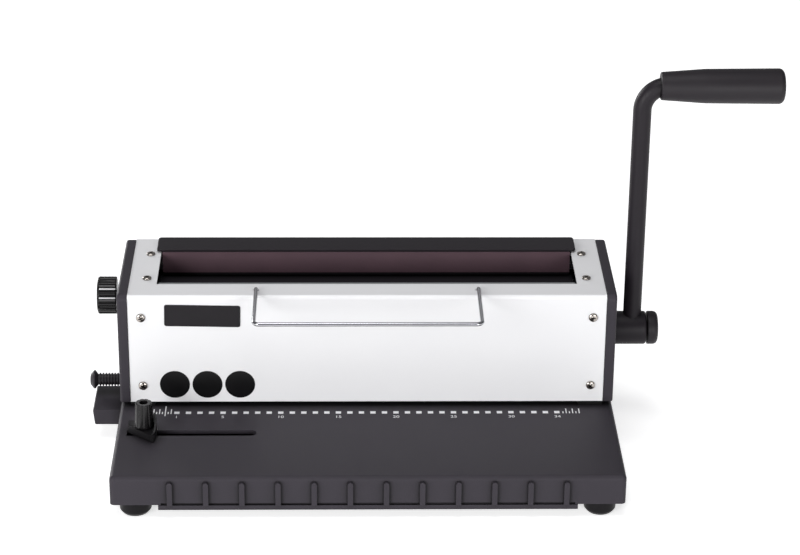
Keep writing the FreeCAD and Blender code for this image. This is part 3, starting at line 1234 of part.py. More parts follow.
def bentWire(corners, bends, radius):
    """Round wire along straight runs joined by arcs."""
    edges = []
    start = corners[0]
    for before, corner, after, bend in zip(corners, corners[1:], corners[2:], bends):
        back = (before - corner).normalize() * bend
        ahead = (after - corner).normalize() * bend
        centre = corner + back + ahead
        middle = centre + (corner - centre).normalize() * bend
        edges.append(Part.makeLine(start, corner + back))
        edges.append(Part.Arc(corner + back, middle, corner + ahead).toShape())
        start = corner + ahead
    edges.append(Part.makeLine(start, corners[-1]))
    path = Part.Wire(edges)
    ring = Part.Wire(Part.makeCircle(radius, corners[0], corners[1] - corners[0]))
    return path.makePipeShell([ring], True, False)


def build():
    fillSheet()
    base()
    bottomPlate()
    feet()
    for side, word in ((-1, "left"), (1, "right")):
        sideFrame(side, "side_frame_" + word)
        sideCover(side, "side_cover_" + word)
        closerGear(side, "closer_gear_" + word)
        punchRack(side, "punch_rack_" + word)
        closerSlide(side, "closer_slide_" + word)
    frontCover()
    rearCover()
    screws()
    punchFixed()
    punchMoving()
    springs()
    closerFixed()
    pressBar()
    bushes()
    driveShaft()
    lever()
    dial()
    marginStops()
    chipTray()
    guide()
    wireRack()
    doc.recompute()


def checkAndWrite():
    """Stop at a failed feature, an empty cut or an open solid; then write one file for each piece."""
    for item in doc.Objects:
        if "Invalid" in item.State or "Error" in item.State:
            raise ValueError("failed feature " + item.Name)
        if item.TypeId == "PartDesign::Pocket":
            before = item.BaseFeature.Shape.Volume
            if before - item.Shape.Volume < close:
                raise ValueError("pocket cuts nothing: " + item.Name)
    os.makedirs("parts", exist_ok=True)
    for label, item in pieces.items():
        shape = item.Shape
        if shape.isNull() or not shape.isValid() or not shape.Solids:
            raise ValueError("bad shape " + label)
        shape.exportStep("parts/%s.step" % label)
        box = shape.BoundBox
        print("%-20s solids %2d faces %4d volume %9.0f" % (label, len(shape.Solids), len(shape.Faces), shape.Volume),
              "box", [round(v, 1) for v in (box.XMin, box.YMin, box.ZMin, box.XMax, box.YMax, box.ZMax)])


build()
checkAndWrite()
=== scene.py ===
import json
import math

import bmesh
import bpy
from mathutils import Matrix, Vector


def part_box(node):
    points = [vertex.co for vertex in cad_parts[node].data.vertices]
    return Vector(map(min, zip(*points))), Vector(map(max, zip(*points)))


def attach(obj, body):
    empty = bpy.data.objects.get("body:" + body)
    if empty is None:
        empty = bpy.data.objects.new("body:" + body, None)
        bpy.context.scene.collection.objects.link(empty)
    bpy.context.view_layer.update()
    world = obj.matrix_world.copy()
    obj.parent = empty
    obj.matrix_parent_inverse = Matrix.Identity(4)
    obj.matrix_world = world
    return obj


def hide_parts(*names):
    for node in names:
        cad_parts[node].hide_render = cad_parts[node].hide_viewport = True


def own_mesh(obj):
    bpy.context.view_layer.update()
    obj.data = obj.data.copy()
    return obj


# Desk machine that punches a row of square holes and closes wire combs.
# X to the user's right, Y away from the user, Z up. Sizes are millimetres; a mesh takes them times mm.

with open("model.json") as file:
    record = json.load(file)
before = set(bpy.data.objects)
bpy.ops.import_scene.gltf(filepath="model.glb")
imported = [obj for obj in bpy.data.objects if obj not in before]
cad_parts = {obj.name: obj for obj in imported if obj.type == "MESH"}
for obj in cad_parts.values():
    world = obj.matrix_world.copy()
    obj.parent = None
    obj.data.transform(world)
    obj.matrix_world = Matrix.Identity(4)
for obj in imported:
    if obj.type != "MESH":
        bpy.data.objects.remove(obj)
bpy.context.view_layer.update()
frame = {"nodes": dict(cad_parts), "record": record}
mm = 0.001
scene = bpy.context.scene
slotOf = {part["node"]: part["material_slot"] for part in frame["record"]["subparts"]}
print("frame loaded:", len(frame["nodes"]), "nodes")


def toMm(node):
    # Lowest and highest corner of a CAD node.
    low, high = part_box(node)
    return low / mm, high / mm


# Middle of the body, front face and top of the cover, top of the paper table
bodyMiddle = (toMm("base")[0].x + toMm("base")[1].x) / 2
coverFace = toMm("front_cover")[0].y
coverTop = toMm("front_cover")[1].z
tableTop = toMm("base")[1].z


# Small helpers

def sRgb(code):
    # Hex colour as seen on a screen, turned into the linear values that a shader takes.
    channels = [int(code[i:i + 2], 16) / 255 for i in (1, 3, 5)]
    linear = [c / 12.92 if c <= 0.04045 else ((c + 0.055) / 1.055) ** 2.4 for c in channels]
    return (*linear, 1.0)


def addNode(tree, kind, values=None, **settings):
    # One node with its settings; a value that is a socket is linked, any other is typed in.
    node = tree.nodes.new(kind)
    for key, value in settings.items():
        setattr(node, key, value)
    for socket, value in (values or {}).items():
        if isinstance(value, bpy.types.NodeSocket):
            tree.links.new(value, node.inputs[socket])
        else:
            node.inputs[socket].default_value = value
    return node


def addPiece(mesh, material, body, *nodes, slotName=None):
    # A piece is named as its mesh, takes the material, joins the body and hides the CAD nodes it replaces;
    # slotName is not used.
    piece = bpy.data.objects.new(mesh.name, mesh)
    scene.collection.objects.link(piece)
    if material.name not in mesh.materials:
        mesh.materials.append(material)
    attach(piece, body)
    if nodes:
        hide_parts(*nodes)
    return piece


def emptyTree(holder):
    # The cleared node tree of a material or the world.
    holder.use_nodes = True
    holder.node_tree.nodes.clear()
    return holder.node_tree


def frozen(item):
    # An object's final shape as a plain mesh; the object itself goes.
    bpy.context.view_layer.update()
    mesh = bpy.data.meshes.new_from_object(item.evaluated_get(bpy.context.evaluated_depsgraph_get()))
    bpy.data.objects.remove(item)
    return mesh


# Outlines and meshes: they take millimetres in the machine's own frame, and a mesh comes out in metres

def rounded(corners, steps):
    # Outline whose corners (u, v, radius) are replaced by arcs of the given radius.
    points = []
    for index, (u, v, radius) in enumerate(corners):
        if radius == 0 or index in (0, len(corners) - 1):
            points.append((u, v))
            continue
        here = Vector((u, v))
        back = (Vector(corners[index - 1][:2]) - here).normalized()
        ahead = (Vector(corners[index + 1][:2]) - here).normalized()
        half = back.angle(ahead) / 2
        reach = radius / math.tan(half)
        centre = here + (back + ahead).normalized() * radius / math.sin(half)
        first, last = here + back * reach - centre, here + ahead * reach - centre
        swing = first.angle_signed(last)
        for step in range(steps + 1):
            point = centre + Matrix.Rotation(-swing * step / steps, 2) @ first
            points.append((point.x, point.y))
    return points


def roundedBox(wide, high, radius, steps):
    # Outline of a rectangle with round corners, about its own middle.
    points = []
    for cornerX, cornerY, start in ((1, 1, 0), (-1, 1, 90), (-1, -1, 180), (1, -1, 270)):
        for step in range(steps + 1):
            angle = math.radians(start + 90 * step / steps)
            points.append((cornerX * (wide / 2 - radius) + radius * math.cos(angle),
                           cornerY * (high / 2 - radius) + radius * math.sin(angle)))
    return points


def meshFrom(name, build, sharp=32):
    # Merge doubled points, turn normals outward, smooth all but the edges sharper than the angle.
    bmesh.ops.remove_doubles(build, verts=build.verts, dist=0.0005 * mm)
    bmesh.ops.recalc_face_normals(build, faces=build.faces)
    for face in build.faces:
        face.smooth = True
    for edge in build.edges:
        edge.smooth = len(edge.link_faces) == 2 and edge.calc_face_angle(0) < math.radians(sharp)
    mesh = bpy.data.meshes.new(name)
    build.to_mesh(mesh)
    build.free()
    return mesh


def skin(build, rings):
    # Faces from ring to ring; a ring of one point is a pole, and a wide ring at an end gets a face.
    for first, second in zip(rings, rings[1:]):
        for step in range(max(len(first), len(second))):
            after = step + 1
            corners = [first[step % len(first)], first[after % len(first)],
                       second[after % len(second)], second[step % len(second)]]
            unique = list(dict.fromkeys(corners))
            if len(unique) > 2:
                build.faces.new(unique)
    for ring in (rings[0], rings[-1]):
        if len(ring) > 1:
            build.faces.new(ring)


# For each axis of turning, the direction along it and the two across it
axes = {
    "x": (Vector((1, 0, 0)), Vector((0, 1, 0)), Vector((0, 0, 1))),
    "y": (Vector((0, 1, 0)), Vector((1, 0, 0)), Vector((0, 0, 1))),
    "z": (Vector((0, 0, 1)), Vector((1, 0, 0)), Vector((0, 1, 0))),
}


def turned(name, profile, start, axis, sides, wave=None):
    # Turned solid from pairs of distance along the axis and radius, which wave may change on the way round.
    forward, across, up = axes[axis]
    build = bmesh.new()
    rings = []
    for along, radius in profile:
        centre = Vector(start) + forward * along
        if radius == 0:
            rings.append([build.verts.new(centre * mm)])
            continue
        ring = []
        for step in range(sides):
            angle = 2 * math.pi * step / sides
            outward = across * math.cos(angle) + up * math.sin(angle)
            size = wave(angle, along, radius) if wave else radius
            ring.append(build.verts.new((centre + outward * size) * mm))
        rings.append(ring)
    skin(build, rings)
    return meshFrom(name, build)


def bentRoute(corners, bends, steps):
    # Straight runs joined by arcs.
    route = [corners[0]]
    for before, corner, after, bend in zip(corners, corners[1:], corners[2:], bends):
        back, ahead = (before - corner).normalized(), (after - corner).normalized()
        half = back.angle(ahead) / 2
        reach = bend / math.tan(half)
        centre = corner + (back + ahead).normalized() * bend / math.sin(half)
        first = (corner + back * reach - centre).normalized()
        last = (corner + ahead * reach - centre).normalized()
        route += [centre + first.slerp(last, step / steps) * bend for step in range(steps + 1)]
    return route + [corners[-1]]


def rod(name, route, radius, sides, tip):
    # Round rod along a route, its ends a little rounded.
    ahead = (route[1] - route[0]).normalized()
    back = (route[-2] - route[-1]).normalized()
    stations = [(route[0], radius - tip), (route[0] + ahead * tip, radius)]
    stations += [(point, radius) for point in route[1:-1]]
    stations += [(route[-1] + back * tip, radius), (route[-1], radius - tip)]
    across = ahead.orthogonal().normalized()
    build = bmesh.new()
    rings = []
    for index, (point, size) in enumerate(stations):
        near = stations[max(index - 1, 0)][0]
        far = stations[min(index + 1, len(stations) - 1)][0]
        direction = (far - near).normalized()
        across = (across - direction * across.dot(direction)).normalized()
        up = direction.cross(across)
        rings.append([build.verts.new((point + (across * math.cos(a) + up * math.sin(a)) * size) * mm)
                      for a in (2 * math.pi * step / sides for step in range(sides))])
    skin(build, rings)
    return meshFrom(name, build)


def plate(name, outline, lift, thick, edge, place):
    # Flat plate from an outline in its own plane, with a small chamfer round its front; place maps (u, v, w).
    middle = sum((Vector(point) for point in outline), Vector((0, 0))) / len(outline)
    build = bmesh.new()
    rims = []
    for inset, height in ((0, 0), (0, thick - edge), (edge, thick)):
        drawn = [Vector(point) - (Vector(point) - middle).normalized() * inset for point in outline]
        rims.append([build.verts.new(place(point.x, point.y, lift + height) * mm) for point in drawn])
    skin(build, rims)
    return meshFrom(name, build)


def addBar(build, size, middle, outward, soft):
    # Bar along X with its thickness along outward; soft is the share of that which its edges lose.
    forward = Vector((1, 0, 0))
    turn = Matrix((forward, outward.cross(forward), outward)).transposed().to_4x4()
    place = Matrix.Translation(middle * mm) @ turn @ Matrix.Diagonal((*(value * mm for value in size), 1))
    made = bmesh.ops.create_cube(build, size=1, matrix=place)
    edges = list({edge for vert in made["verts"] for edge in vert.link_edges})
    bmesh.ops.bevel(build, geom=edges, offset=soft * min(size) * mm, segments=2, affect="EDGES", profile=0.5)


# Geometry Nodes helpers

def newGroup(name, **inputs):
    # Node group of geometry with named inputs, each given by the kind of its socket.
    group = bpy.data.node_groups.new(name, "GeometryNodeTree")
    group.interface.new_socket("Geometry", in_out="INPUT", socket_type="NodeSocketGeometry")
    for label, kind in inputs.items():
        group.interface.new_socket(label, in_out="INPUT", socket_type="NodeSocket" + kind)
    group.interface.new_socket("Geometry", in_out="OUTPUT", socket_type="NodeSocketGeometry")
    return group, addNode(group, "NodeGroupInput").outputs


def endGroup(group, geometry, material=None):
    # Close a tree; one that makes a piece first turns its copies into real geometry and paints them.
    if material:
        real = addNode(group, "GeometryNodeRealizeInstances", {"Geometry": geometry})
        geometry = addNode(group, "GeometryNodeSetMaterial",
                           {"Geometry": real.outputs["Geometry"], "Material": material}).outputs["Geometry"]
    addNode(group, "NodeGroupOutput", {"Geometry": geometry})
    return group


def useGroup(item, group, values):
    # Put a group on an object, with its inputs typed in by identifier.
    modifier = item.modifiers.new(group.name, "NODES")
    modifier.node_group = group
    for socket in group.interface.items_tree:
        if socket.name in values:
            modifier[socket.identifier] = values[socket.name]


def baked(name, group, values, holder=None):
    # Run a group once, on a holder mesh where it needs one, and keep the result as a plain mesh.
    item = bpy.data.objects.new(name + "_maker", holder or bpy.data.meshes.new(name + "_holder"))
    scene.collection.objects.link(item)
    useGroup(item, group, values)
    mesh = frozen(item)
    mesh.name = name
    return mesh


def sprinkler():
    # Puts one object at each point of a mesh, turned and sized by the point's own values.
    group, given = newGroup("place at points", Piece="Object", Material="Material")
    shape = addNode(group, "GeometryNodeObjectInfo", {"Object": given["Piece"]})
    aim = addNode(group, "GeometryNodeInputNamedAttribute", {"Name": "aim"}, data_type="FLOAT_VECTOR")
    size = addNode(group, "GeometryNodeInputNamedAttribute", {"Name": "size"}, data_type="FLOAT_VECTOR")
    turn = addNode(group, "FunctionNodeEulerToRotation", {"Euler": aim.outputs["Attribute"]})
    placed = addNode(group, "GeometryNodeInstanceOnPoints",
                     {"Points": given["Geometry"], "Instance": shape.outputs["Geometry"],
                      "Rotation": turn.outputs["Rotation"], "Scale": size.outputs["Attribute"]})
    return endGroup(group, placed.outputs["Instances"], given["Material"])


placeAtPoints = sprinkler()


def at(point, aim=(0, 0, 0), size=(1, 1, 1)):
    # A place for a copy: its point in millimetres, its turn in degrees and its size.
    return point, aim, size


def repeated(name, shape, places, material):
    # One mesh with a copy of the shape at every place.
    cloud = bpy.data.meshes.new(name + "_points")
    cloud.from_pydata([[value * mm for value in point] for point, _, _ in places], [], [])
    for label, column in (("aim", [math.radians(value) for _, aim, _ in places for value in aim]),
                          ("size", [value for _, _, size in places for value in size])):
        cloud.attributes.new(label, "FLOAT_VECTOR", "POINT").data.foreach_set("vector", column)
    source = bpy.data.objects.new(name + "_shape", shape)
    mesh = baked(name, placeAtPoints, {"Piece": source, "Material": material}, cloud)
    bpy.data.objects.remove(source)
    return mesh


# Materials: one for each slot of the record, and those of single pieces, plates and prints

# Painted shade: the near-black that inner corners and recesses are darkened towards, and how sharply.
cornerShade = {"colour": "#080708", "power": 1.8}


def finish(name, drift, gloss, crevice=0, grain=None, metallic=0.0, specular=0.5, own=None):
    # drift: two colours and the width in mm over which one turns into the other; gloss: the two roughness
    # values that go with them; crevice: the reach in mm within which painted shade darkens an inner corner;
    # grain: width and depth in mm of a bump, and how it is stretched; own: other values of the shader's
    # sockets.
    material = bpy.data.materials.new(name)
    tree = emptyTree(material)
    light, dark, width = drift
    material.diffuse_color = sRgb(light)
    place = addNode(tree, "ShaderNodeTexCoord").outputs["Object"]
    cloud = addNode(tree, "ShaderNodeTexNoise", {"Vector": place, "Scale": 1 / (width * mm), "Detail": 4.0})
    rough = addNode(tree, "ShaderNodeMapRange",
                    {"Value": cloud.outputs["Fac"], "To Min": gloss[0], "To Max": gloss[1]})
    colour = addNode(tree, "ShaderNodeMix",
                     {"Factor": cloud.outputs["Fac"], "A": sRgb(dark), "B": sRgb(light)}, data_type="RGBA")
    # Painted shade: ambient occlusion within the crevice reach mixes the colour towards the shade colour,
    # darkening corners, creases and recesses.
    if crevice:
        free = addNode(tree, "ShaderNodeAmbientOcclusion", {"Distance": crevice * mm}, samples=8)
        unshaded = addNode(tree, "ShaderNodeMath", {0: free.outputs["AO"], 1: cornerShade["power"]}, operation="POWER")
        colour = addNode(tree, "ShaderNodeMix", {"Factor": unshaded.outputs["Value"], "A": sRgb(cornerShade["colour"]),
                                                 "B": colour.outputs["Result"]}, data_type="RGBA")
    shader = addNode(tree, "ShaderNodeBsdfPrincipled",
                     {"Base Color": colour.outputs["Result"], "Roughness": rough.outputs["Result"],
                      "Metallic": metallic, "Specular IOR Level": specular, **(own or {})})
    if grain:
        width, depth, *stretch = grain
        mapping = addNode(tree, "ShaderNodeMapping", {"Vector": place, "Scale": stretch or (1, 1, 1)})
        pebble = addNode(tree, "ShaderNodeTexNoise", {"Vector": mapping.outputs["Vector"], "Detail": 3.0,
                                                      "Scale": 1 / (width * mm), "Roughness": 0.55})
        bump = addNode(tree, "ShaderNodeBump",
                       {"Height": pebble.outputs["Fac"], "Strength": 1.0, "Distance": depth * mm})
        tree.links.new(bump.outputs["Normal"], shader.inputs["Normal"])
    addNode(tree, "ShaderNodeOutputMaterial", {"Surface": shader.outputs["BSDF"]})
    return material


def mouldedCharcoal():
    # ABS moulded against a spark-eroded steel face: an even, fine pebble that spreads the highlight.
    return finish("charcoal moulded ABS", ("#37333a", "#302d33", 30), (0.52, 0.62), crevice=9,
                  grain=(0.9, 0.045), specular=0.25)


def silverCoat():
    # Powder coat with fine aluminium flake over folded sheet: pale, satin, a little orange peel.
    return finish("silver powder coat", ("#f2f2f3", "#ededef", 60), (0.4, 0.47), grain=(1.6, 0.012),
                  metallic=0.1)


def charcoalCoat():
    # Satin powder coat over sheet: smooth with slight orange peel.
    return finish("charcoal powder coat", ("#28252a", "#222024", 40), (0.42, 0.52), crevice=8,
                  grain=(1.8, 0.015), specular=0.18)


def tubeCoat():
    # The same powder coat on the lever's tube and hub and the press bar, a shade darker.
    return finish("dark tube coat", ("#242025", "#1d191e", 18), (0.42, 0.52), crevice=5,
                  grain=(1.6, 0.012), specular=0.2)


def blackZinc():
    # Black passivated zinc over folded sheet: a dark, half dull metal film; it is made this dark as painted
    # shade where the frames show at the ends of the throat.
    return finish("black passivated zinc", ("#202022", "#161617", 8), (0.38, 0.55), crevice=6,
                  grain=(1.2, 0.008), metallic=0.6)


def zincSteel():
    # Zinc plated, rolled sheet: grey metal with faint cloudy spangle.
    return finish("zinc plated steel", ("#bcc0c3", "#a3a5a6", 9), (0.3, 0.46),
                  grain=(1.2, 0.008, 1, 1, 12), metallic=1.0)


def groundSteel():
    # Ground tool steel: fine parallel lines left by the wheel, a thin film of oil.
    return finish("ground tool steel", ("#9e9ea1", "#8a8a8e", 14), (0.24, 0.38),
                  grain=(2.0, 0.01, 1, 14, 14), metallic=1.0)


def springSteel():
    # Drawn spring wire, oil tempered: dark, smooth, slightly streaked.
    return finish("oil tempered spring wire", ("#6c6c72", "#58585c", 4), (0.26, 0.4), metallic=1.0)


def sinteredBronze():
    # Pressed bronze powder soaked with oil: warm, dull, full of tiny pores.
    return finish("sintered bronze", ("#b38c52", "#8d6b3a", 2.5), (0.36, 0.55), grain=(0.7, 0.02),
                  metallic=1.0)


def chromeWire():
    # Bright chrome over drawn wire: a mirror that is very slightly uneven.
    return finish("bright chrome wire", ("#bcbcc0", "#a6a6ab", 12), (0.06, 0.14), metallic=1.0)


def nickelScrew():
    # Bright nickel over cold-formed heads: soft mirror, slightly warm.
    return finish("bright nickel", ("#bbb5af", "#958f89", 1.5), (0.12, 0.2), crevice=1.8, metallic=1.0)


def blackKnob():
    # Black phenolic, polished in the mould: near mirror gloss with faint flow marks.
    return finish("polished black moulding", ("#131113", "#0c0b0c", 6), (0.18, 0.3), crevice=2.5,
                  specular=0.35)


def knobSatin():
    # The margin knob's black phenolic, left satin by a blasted mould: paler than the polished dial.
    return finish("satin black moulding", ("#2f2b30", "#262327", 5), (0.34, 0.46), crevice=1.5,
                  grain=(0.8, 0.01), specular=0.3)


def gripBlack():
    # Soft black moulding, matt from a blasted mould.
    return finish("matt black grip moulding", ("#272327", "#211e22", 22), (0.46, 0.56),
                  grain=(0.9, 0.03), specular=0.25)


def guideBlack():
    # Nylon of the paper guide, moulded black in a bead-blasted steel face: even, fine and half matt.
    return finish("black moulded nylon", ("#19181a", "#131214", 10), (0.36, 0.48), crevice=3,
                  grain=(0.8, 0.02), specular=0.2)


def naturalNylon():
    # Turned nylon: milky, lets a little light in.
    inside = {"Subsurface Weight": 0.15, "Subsurface Radius": (0.002, 0.0016, 0.0012)}
    return finish("natural nylon", ("#d4d1c6", "#c5c2b5", 6), (0.4, 0.52), own=inside)


def magnetRubber():
    # Calendered magnet strip: dull brown, with fine rolling lines along it.
    return finish("brown magnet strip", ("#523b44", "#46323a", 18), (0.55, 0.68),
                  grain=(1.5, 0.02, 0.15, 1, 1))


def footRubber():
    # Black rubber, moulded in a polished tool: a dull black that still catches a soft line of light.
    return finish("black foot rubber", ("#121013", "#0b0a0d", 8), (0.32, 0.46), grain=(0.8, 0.03),
                  specular=0.15)


def printInk():
    # Pad-printed white ink: a thin dry film with slightly uneven cover.
    return finish("white print ink", ("#eeeeef", "#d6d6d9", 2), (0.45, 0.6))


def badgeFilm():
    # Dark grey printed polycarbonate film, bare, with a satin face.
    return finish("dark grey badge film", ("#252326", "#201e21", 12), (0.34, 0.44), specular=0.15)


def discFilm():
    # Black printed film of the three round plates, bare, satin.
    return finish("black disc film", ("#100f11", "#0b0b0c", 12), (0.34, 0.44), specular=0.15)


bySlot = {
    "charcoal_moulding": mouldedCharcoal(),
    "silver_sheet": silverCoat(),
    "charcoal_sheet": charcoalCoat(),
    "frame_steel": zincSteel(),
    "tool_steel": groundSteel(),
    "spring_steel": springSteel(),
    "bronze": sinteredBronze(),
    "chrome_wire": chromeWire(),
    "plated_screw": nickelScrew(),
    "black_knob": blackKnob(),
    "grip_black": gripBlack(),
    "stop_nylon": naturalNylon(),
    "magnet_brown": magnetRubber(),
    "foot_rubber": footRubber(),
}
tubeFace, satinFace, whiteInk = tubeCoat(), knobSatin(), printInk()
badgeFace, discFace = badgeFilm(), discFilm()
# The side frames take the dark zinc, whose darkness paints the shade at the ends of the throat.
frameShadeFace = blackZinc()
ownFinish = {"side_frame_left": frameShadeFace, "side_frame_right": frameShadeFace, "paper_guide": guideBlack(),
             "press_bar": tubeFace}
print("materials made")


# CAD nodes that stay: their material and the real width of their broken edges in mm

edgeWidth = {
    "base": 0.5, "front_cover": 0.35, "side_cover_left": 0.5, "side_cover_right": 0.5, "press_bar": 0.3,
    "magnet_strip": 0.15, "chip_tray": 0.5, "paper_guide": 0.25, "guide_slider": 0.3, "trough_floor": 0.2,
    "anvil_bar": 0.3, "rear_cover": 0.2, "bottom_plate": 0.2, "side_frame_left": 0.3, "side_frame_right": 0.3,
    "die_plate": 0.2, "guide_plate": 0.2, "tie_bar_front": 0.3, "tie_bar_rear": 0.3, "rod_supports": 0.3,
    "throat_spacers": 0.2, "punch_bar": 0.3, "closer_slide_left": 0.2, "closer_slide_right": 0.2,
}
soften = {"weld": 0.002, "flatBelow": 0.6, "bevelAbove": 40, "sharpAbove": 30, "segments": 2}


def edgeGroup():
    # Smooth faces with sharp edges above an angle.
    group, given = newGroup("smooth by angle", Angle="Float")
    angle = addNode(group, "GeometryNodeInputMeshEdgeAngle")
    sharp = addNode(group, "FunctionNodeCompare", {"A": angle.outputs["Unsigned Angle"], "B": given["Angle"]},
                    operation="GREATER_THAN")
    faces = addNode(group, "GeometryNodeSetShadeSmooth",
                    {"Geometry": given["Geometry"], "Shade Smooth": True}, domain="FACE")
    edges = addNode(group, "GeometryNodeSetShadeSmooth",
                    {"Geometry": faces.outputs["Geometry"], "Selection": sharp.outputs["Result"],
                     "Shade Smooth": False}, domain="EDGE")
    return endGroup(group, edges.outputs["Geometry"])


smoothByAngle = edgeGroup()


def dress(node, material, width):
    # Paint a CAD node, weld its loose triangles, round its sharp edges and keep its flat faces flat.
    for holder in node.material_slots:
        holder.link = "OBJECT"
        holder.material = material
    weld = node.modifiers.new("weld", "WELD")
    weld.merge_threshold = soften["weld"] * mm
    if width:
        flat = node.modifiers.new("flat", "DECIMATE")
        flat.decimate_type = "DISSOLVE"
        flat.angle_limit = math.radians(soften["flatBelow"])
        bevel = node.modifiers.new("edge", "BEVEL")
        bevel.width = width * mm
        bevel.segments = soften["segments"]
        bevel.limit_method = "ANGLE"
        bevel.angle_limit = math.radians(soften["bevelAbove"])
        bevel.use_clamp_overlap = True
    useGroup(node, smoothByAngle, {"Angle": math.radians(soften["sharpAbove"])})
    weighted = node.modifiers.new("weighted", "WEIGHTED_NORMAL")
    weighted.keep_sharp = True
    weighted.weight = 100


for name, node in frame["nodes"].items():
    dress(node, ownFinish.get(name, bySlot[slotOf[name]]), edgeWidth.get(name, 0))
print("CAD nodes painted:", len(slotOf))


# Lever: painted steel tube in a hub on the main shaft, with a moulded grip

lever = {"bend": 18.5, "bendSteps": 20, "rodSides": 40, "rodTip": 0.5, "sides": 72,
         "neck": 20.4, "neckEdge": 1.0, "waist": 25.0, "waistRound": 30.0, "taper": 32.2, "gripEnd": 4.0,
         "hubEdge": 0.8, "hubBevel": 1.44, "capPin": 2.9, "capPinEdge": 0.3, "capSpigot": 5.0, "capGap": 1.1,
         "capEdge": 0.5, "capBevel": 3.5}


def leverPieces():
    low, high = toMm("lever_rod")
    depth, radius = (low.y + high.y) / 2, (high.y - low.y) / 2
    side, top = low.x + radius, high.z - radius
    corners = [Vector(point) for point in ((side, depth, low.z), (side, depth, top), (high.x, depth, top))]
    route = bentRoute(corners, [lever["bend"]], lever["bendSteps"])
    tube = rod("leverRod", route, radius, lever["rodSides"], lever["rodTip"])
    addPiece(tube, tubeFace, "lever", "lever_rod")

    low, high = toMm("lever_grip")
    long, radius = high.x - low.x, (high.z - low.z) / 2
    profile = rounded([(0, 0, 0), (0, lever["neck"] / 2, lever["neckEdge"]),
                       (lever["taper"], lever["waist"] / 2, lever["waistRound"]),
                       (long, radius, lever["gripEnd"]), (long, 0, 0)], steps=8)
    addPiece(turned("leverGrip", profile, (low.x, depth, top), "x", lever["sides"]),
             bySlot["grip_black"], "lever", "lever_grip")

    low, high = toMm("lever_hub")
    long, radius, height = high.x - low.x, (high.z - low.z) / 2, (low.z + high.z) / 2
    profile = rounded([(0, 0, 0), (0, radius, lever["hubEdge"]), (long, radius, lever["hubBevel"]),
                       (long, 0, 0)], steps=4)
    addPiece(turned("leverHub", profile, (low.x, depth, height), "x", lever["sides"]), tubeFace, "lever",
             "lever_hub", "hub_pin")

    gap, pin, spigot = lever["capGap"], lever["capPin"], lever["capSpigot"]
    start = high.x + gap
    inner, outer = (corner.x - start for corner in toMm("end_cap"))
    profile = rounded([(inner, 0, 0), (inner, pin, lever["capPinEdge"]), (-gap, pin, 0), (-gap, spigot, 0),
                       (0, spigot, 0), (0, radius, lever["capEdge"]), (outer, radius, lever["capBevel"]),
                       (outer, 0, 0)], steps=6)
    addPiece(turned("leverCap", profile, (start, depth, height), "x", lever["sides"]),
             bySlot["grip_black"], "lever", "end_cap")


leverPieces()
print("lever made")


# Closing-size dial: fluted knob with two white pointer lines

dial = {"flutes": 12, "flute": 2.2, "fluteOut": 1.2, "fluteFull": 2.0, "fluteRun": 1.2, "past": 0.01,
        "sides": 28, "plain": 1.2, "nick": 0.55, "nickWide": 2.6, "face": 1.6, "dish": 0.35, "dishAt": 0.66,
        "rimAt": 0.7, "body": 14.1, "edge": 0.3, "collar": 1.5, "lineAt": (45, 15), "lineWide": 1.1,
        "lineThick": 0.5, "lineShort": 0.4, "lineSoft": 0.25}


def fluteWave(knob, radius, seat=0):
    # Radius of a knob with round flutes and a fine nick along each ridge between them. They run out towards
    # the seat, and what is narrower than the grip by more than plain stays round.
    pitch = 2 * math.pi / knob["flutes"]

    def wave(angle, along, size):
        if size < radius - knob["plain"] or along < seat:
            return size
        share = (along - seat - knob["fluteFull"] + knob["fluteRun"]) / knob["fluteRun"]
        turn = angle % pitch - pitch / 2
        reach = size + knob["fluteOut"]
        half = reach * math.sin(abs(turn))
        cut = 0
        if half < knob["flute"]:
            cut = max(size - reach * math.cos(turn) + math.sqrt(knob["flute"] ** 2 - half ** 2), 0)
        offRidge = math.degrees(pitch / 2 - abs(turn))
        nick = knob["nick"] * max(1 - offRidge / knob["nickWide"], 0)
        return size - (cut + nick) * min(max(share, 0), 1)
    return wave


def dialPieces():
    low, high = toMm("dial_knob")
    middle, radius, full = (low + high) / 2, (high.z - low.z) / 2, high.x - low.x
    face, body, edge = dial["face"], dial["body"], dial["edge"]
    profile = rounded([(0, 0, 0), (dial["dish"], radius * dial["dishAt"], 0), (0, radius * dial["rimAt"], 0),
                       (0, radius, face), (dial["fluteFull"] + dial["past"], radius, 0),
                       (body - edge, radius, 0), (body, radius - edge, 0), (full, radius - dial["collar"], 0),
                       (full, 0, 0)], steps=8)
    mesh = turned("dialKnob", profile, (low.x, middle.y, middle.z), "x", dial["flutes"] * dial["sides"],
                  fluteWave(dial, radius))
    addPiece(mesh, bySlot["black_knob"], "size_dial", "dial_knob")

    build = bmesh.new()
    bottom = radius + dial["fluteOut"] - dial["flute"]
    size = (body - face - dial["lineShort"], dial["lineWide"], dial["lineThick"])
    for angle in (math.radians(value) for value in dial["lineAt"]):
        outward = Vector((0, -math.cos(angle), math.sin(angle)))
        centre = Vector((low.x + (face + body) / 2, middle.y, middle.z)) + outward * bottom
        addBar(build, size, centre, outward, dial["lineSoft"])
    addPiece(meshFrom("dialLines", build), whiteInk, "size_dial", slotName=slotOf["dial_knob"])


dialPieces()


# Margin knob: mushroom head and a ribbed barrel; ridge gives how far along its pitch a ridge rises and falls

margin = {"head": 7.0, "headLong": 5.9, "crown": 0.55, "crownRound": 2.5, "dome": 2.6, "domeRound": 0.7,
          "rim": 1.0, "rimRound": 0.5, "barrel": 5.0, "groove": 1.0, "ribbed": 15.4, "ridges": 7,
          "ridge": ((0.3, 0), (0.5, 1), (0.8, 1), (1.0, 0)), "collarGap": 0.6, "collarEdge": 0.2, "edge": 0.3,
          "sides": 48}


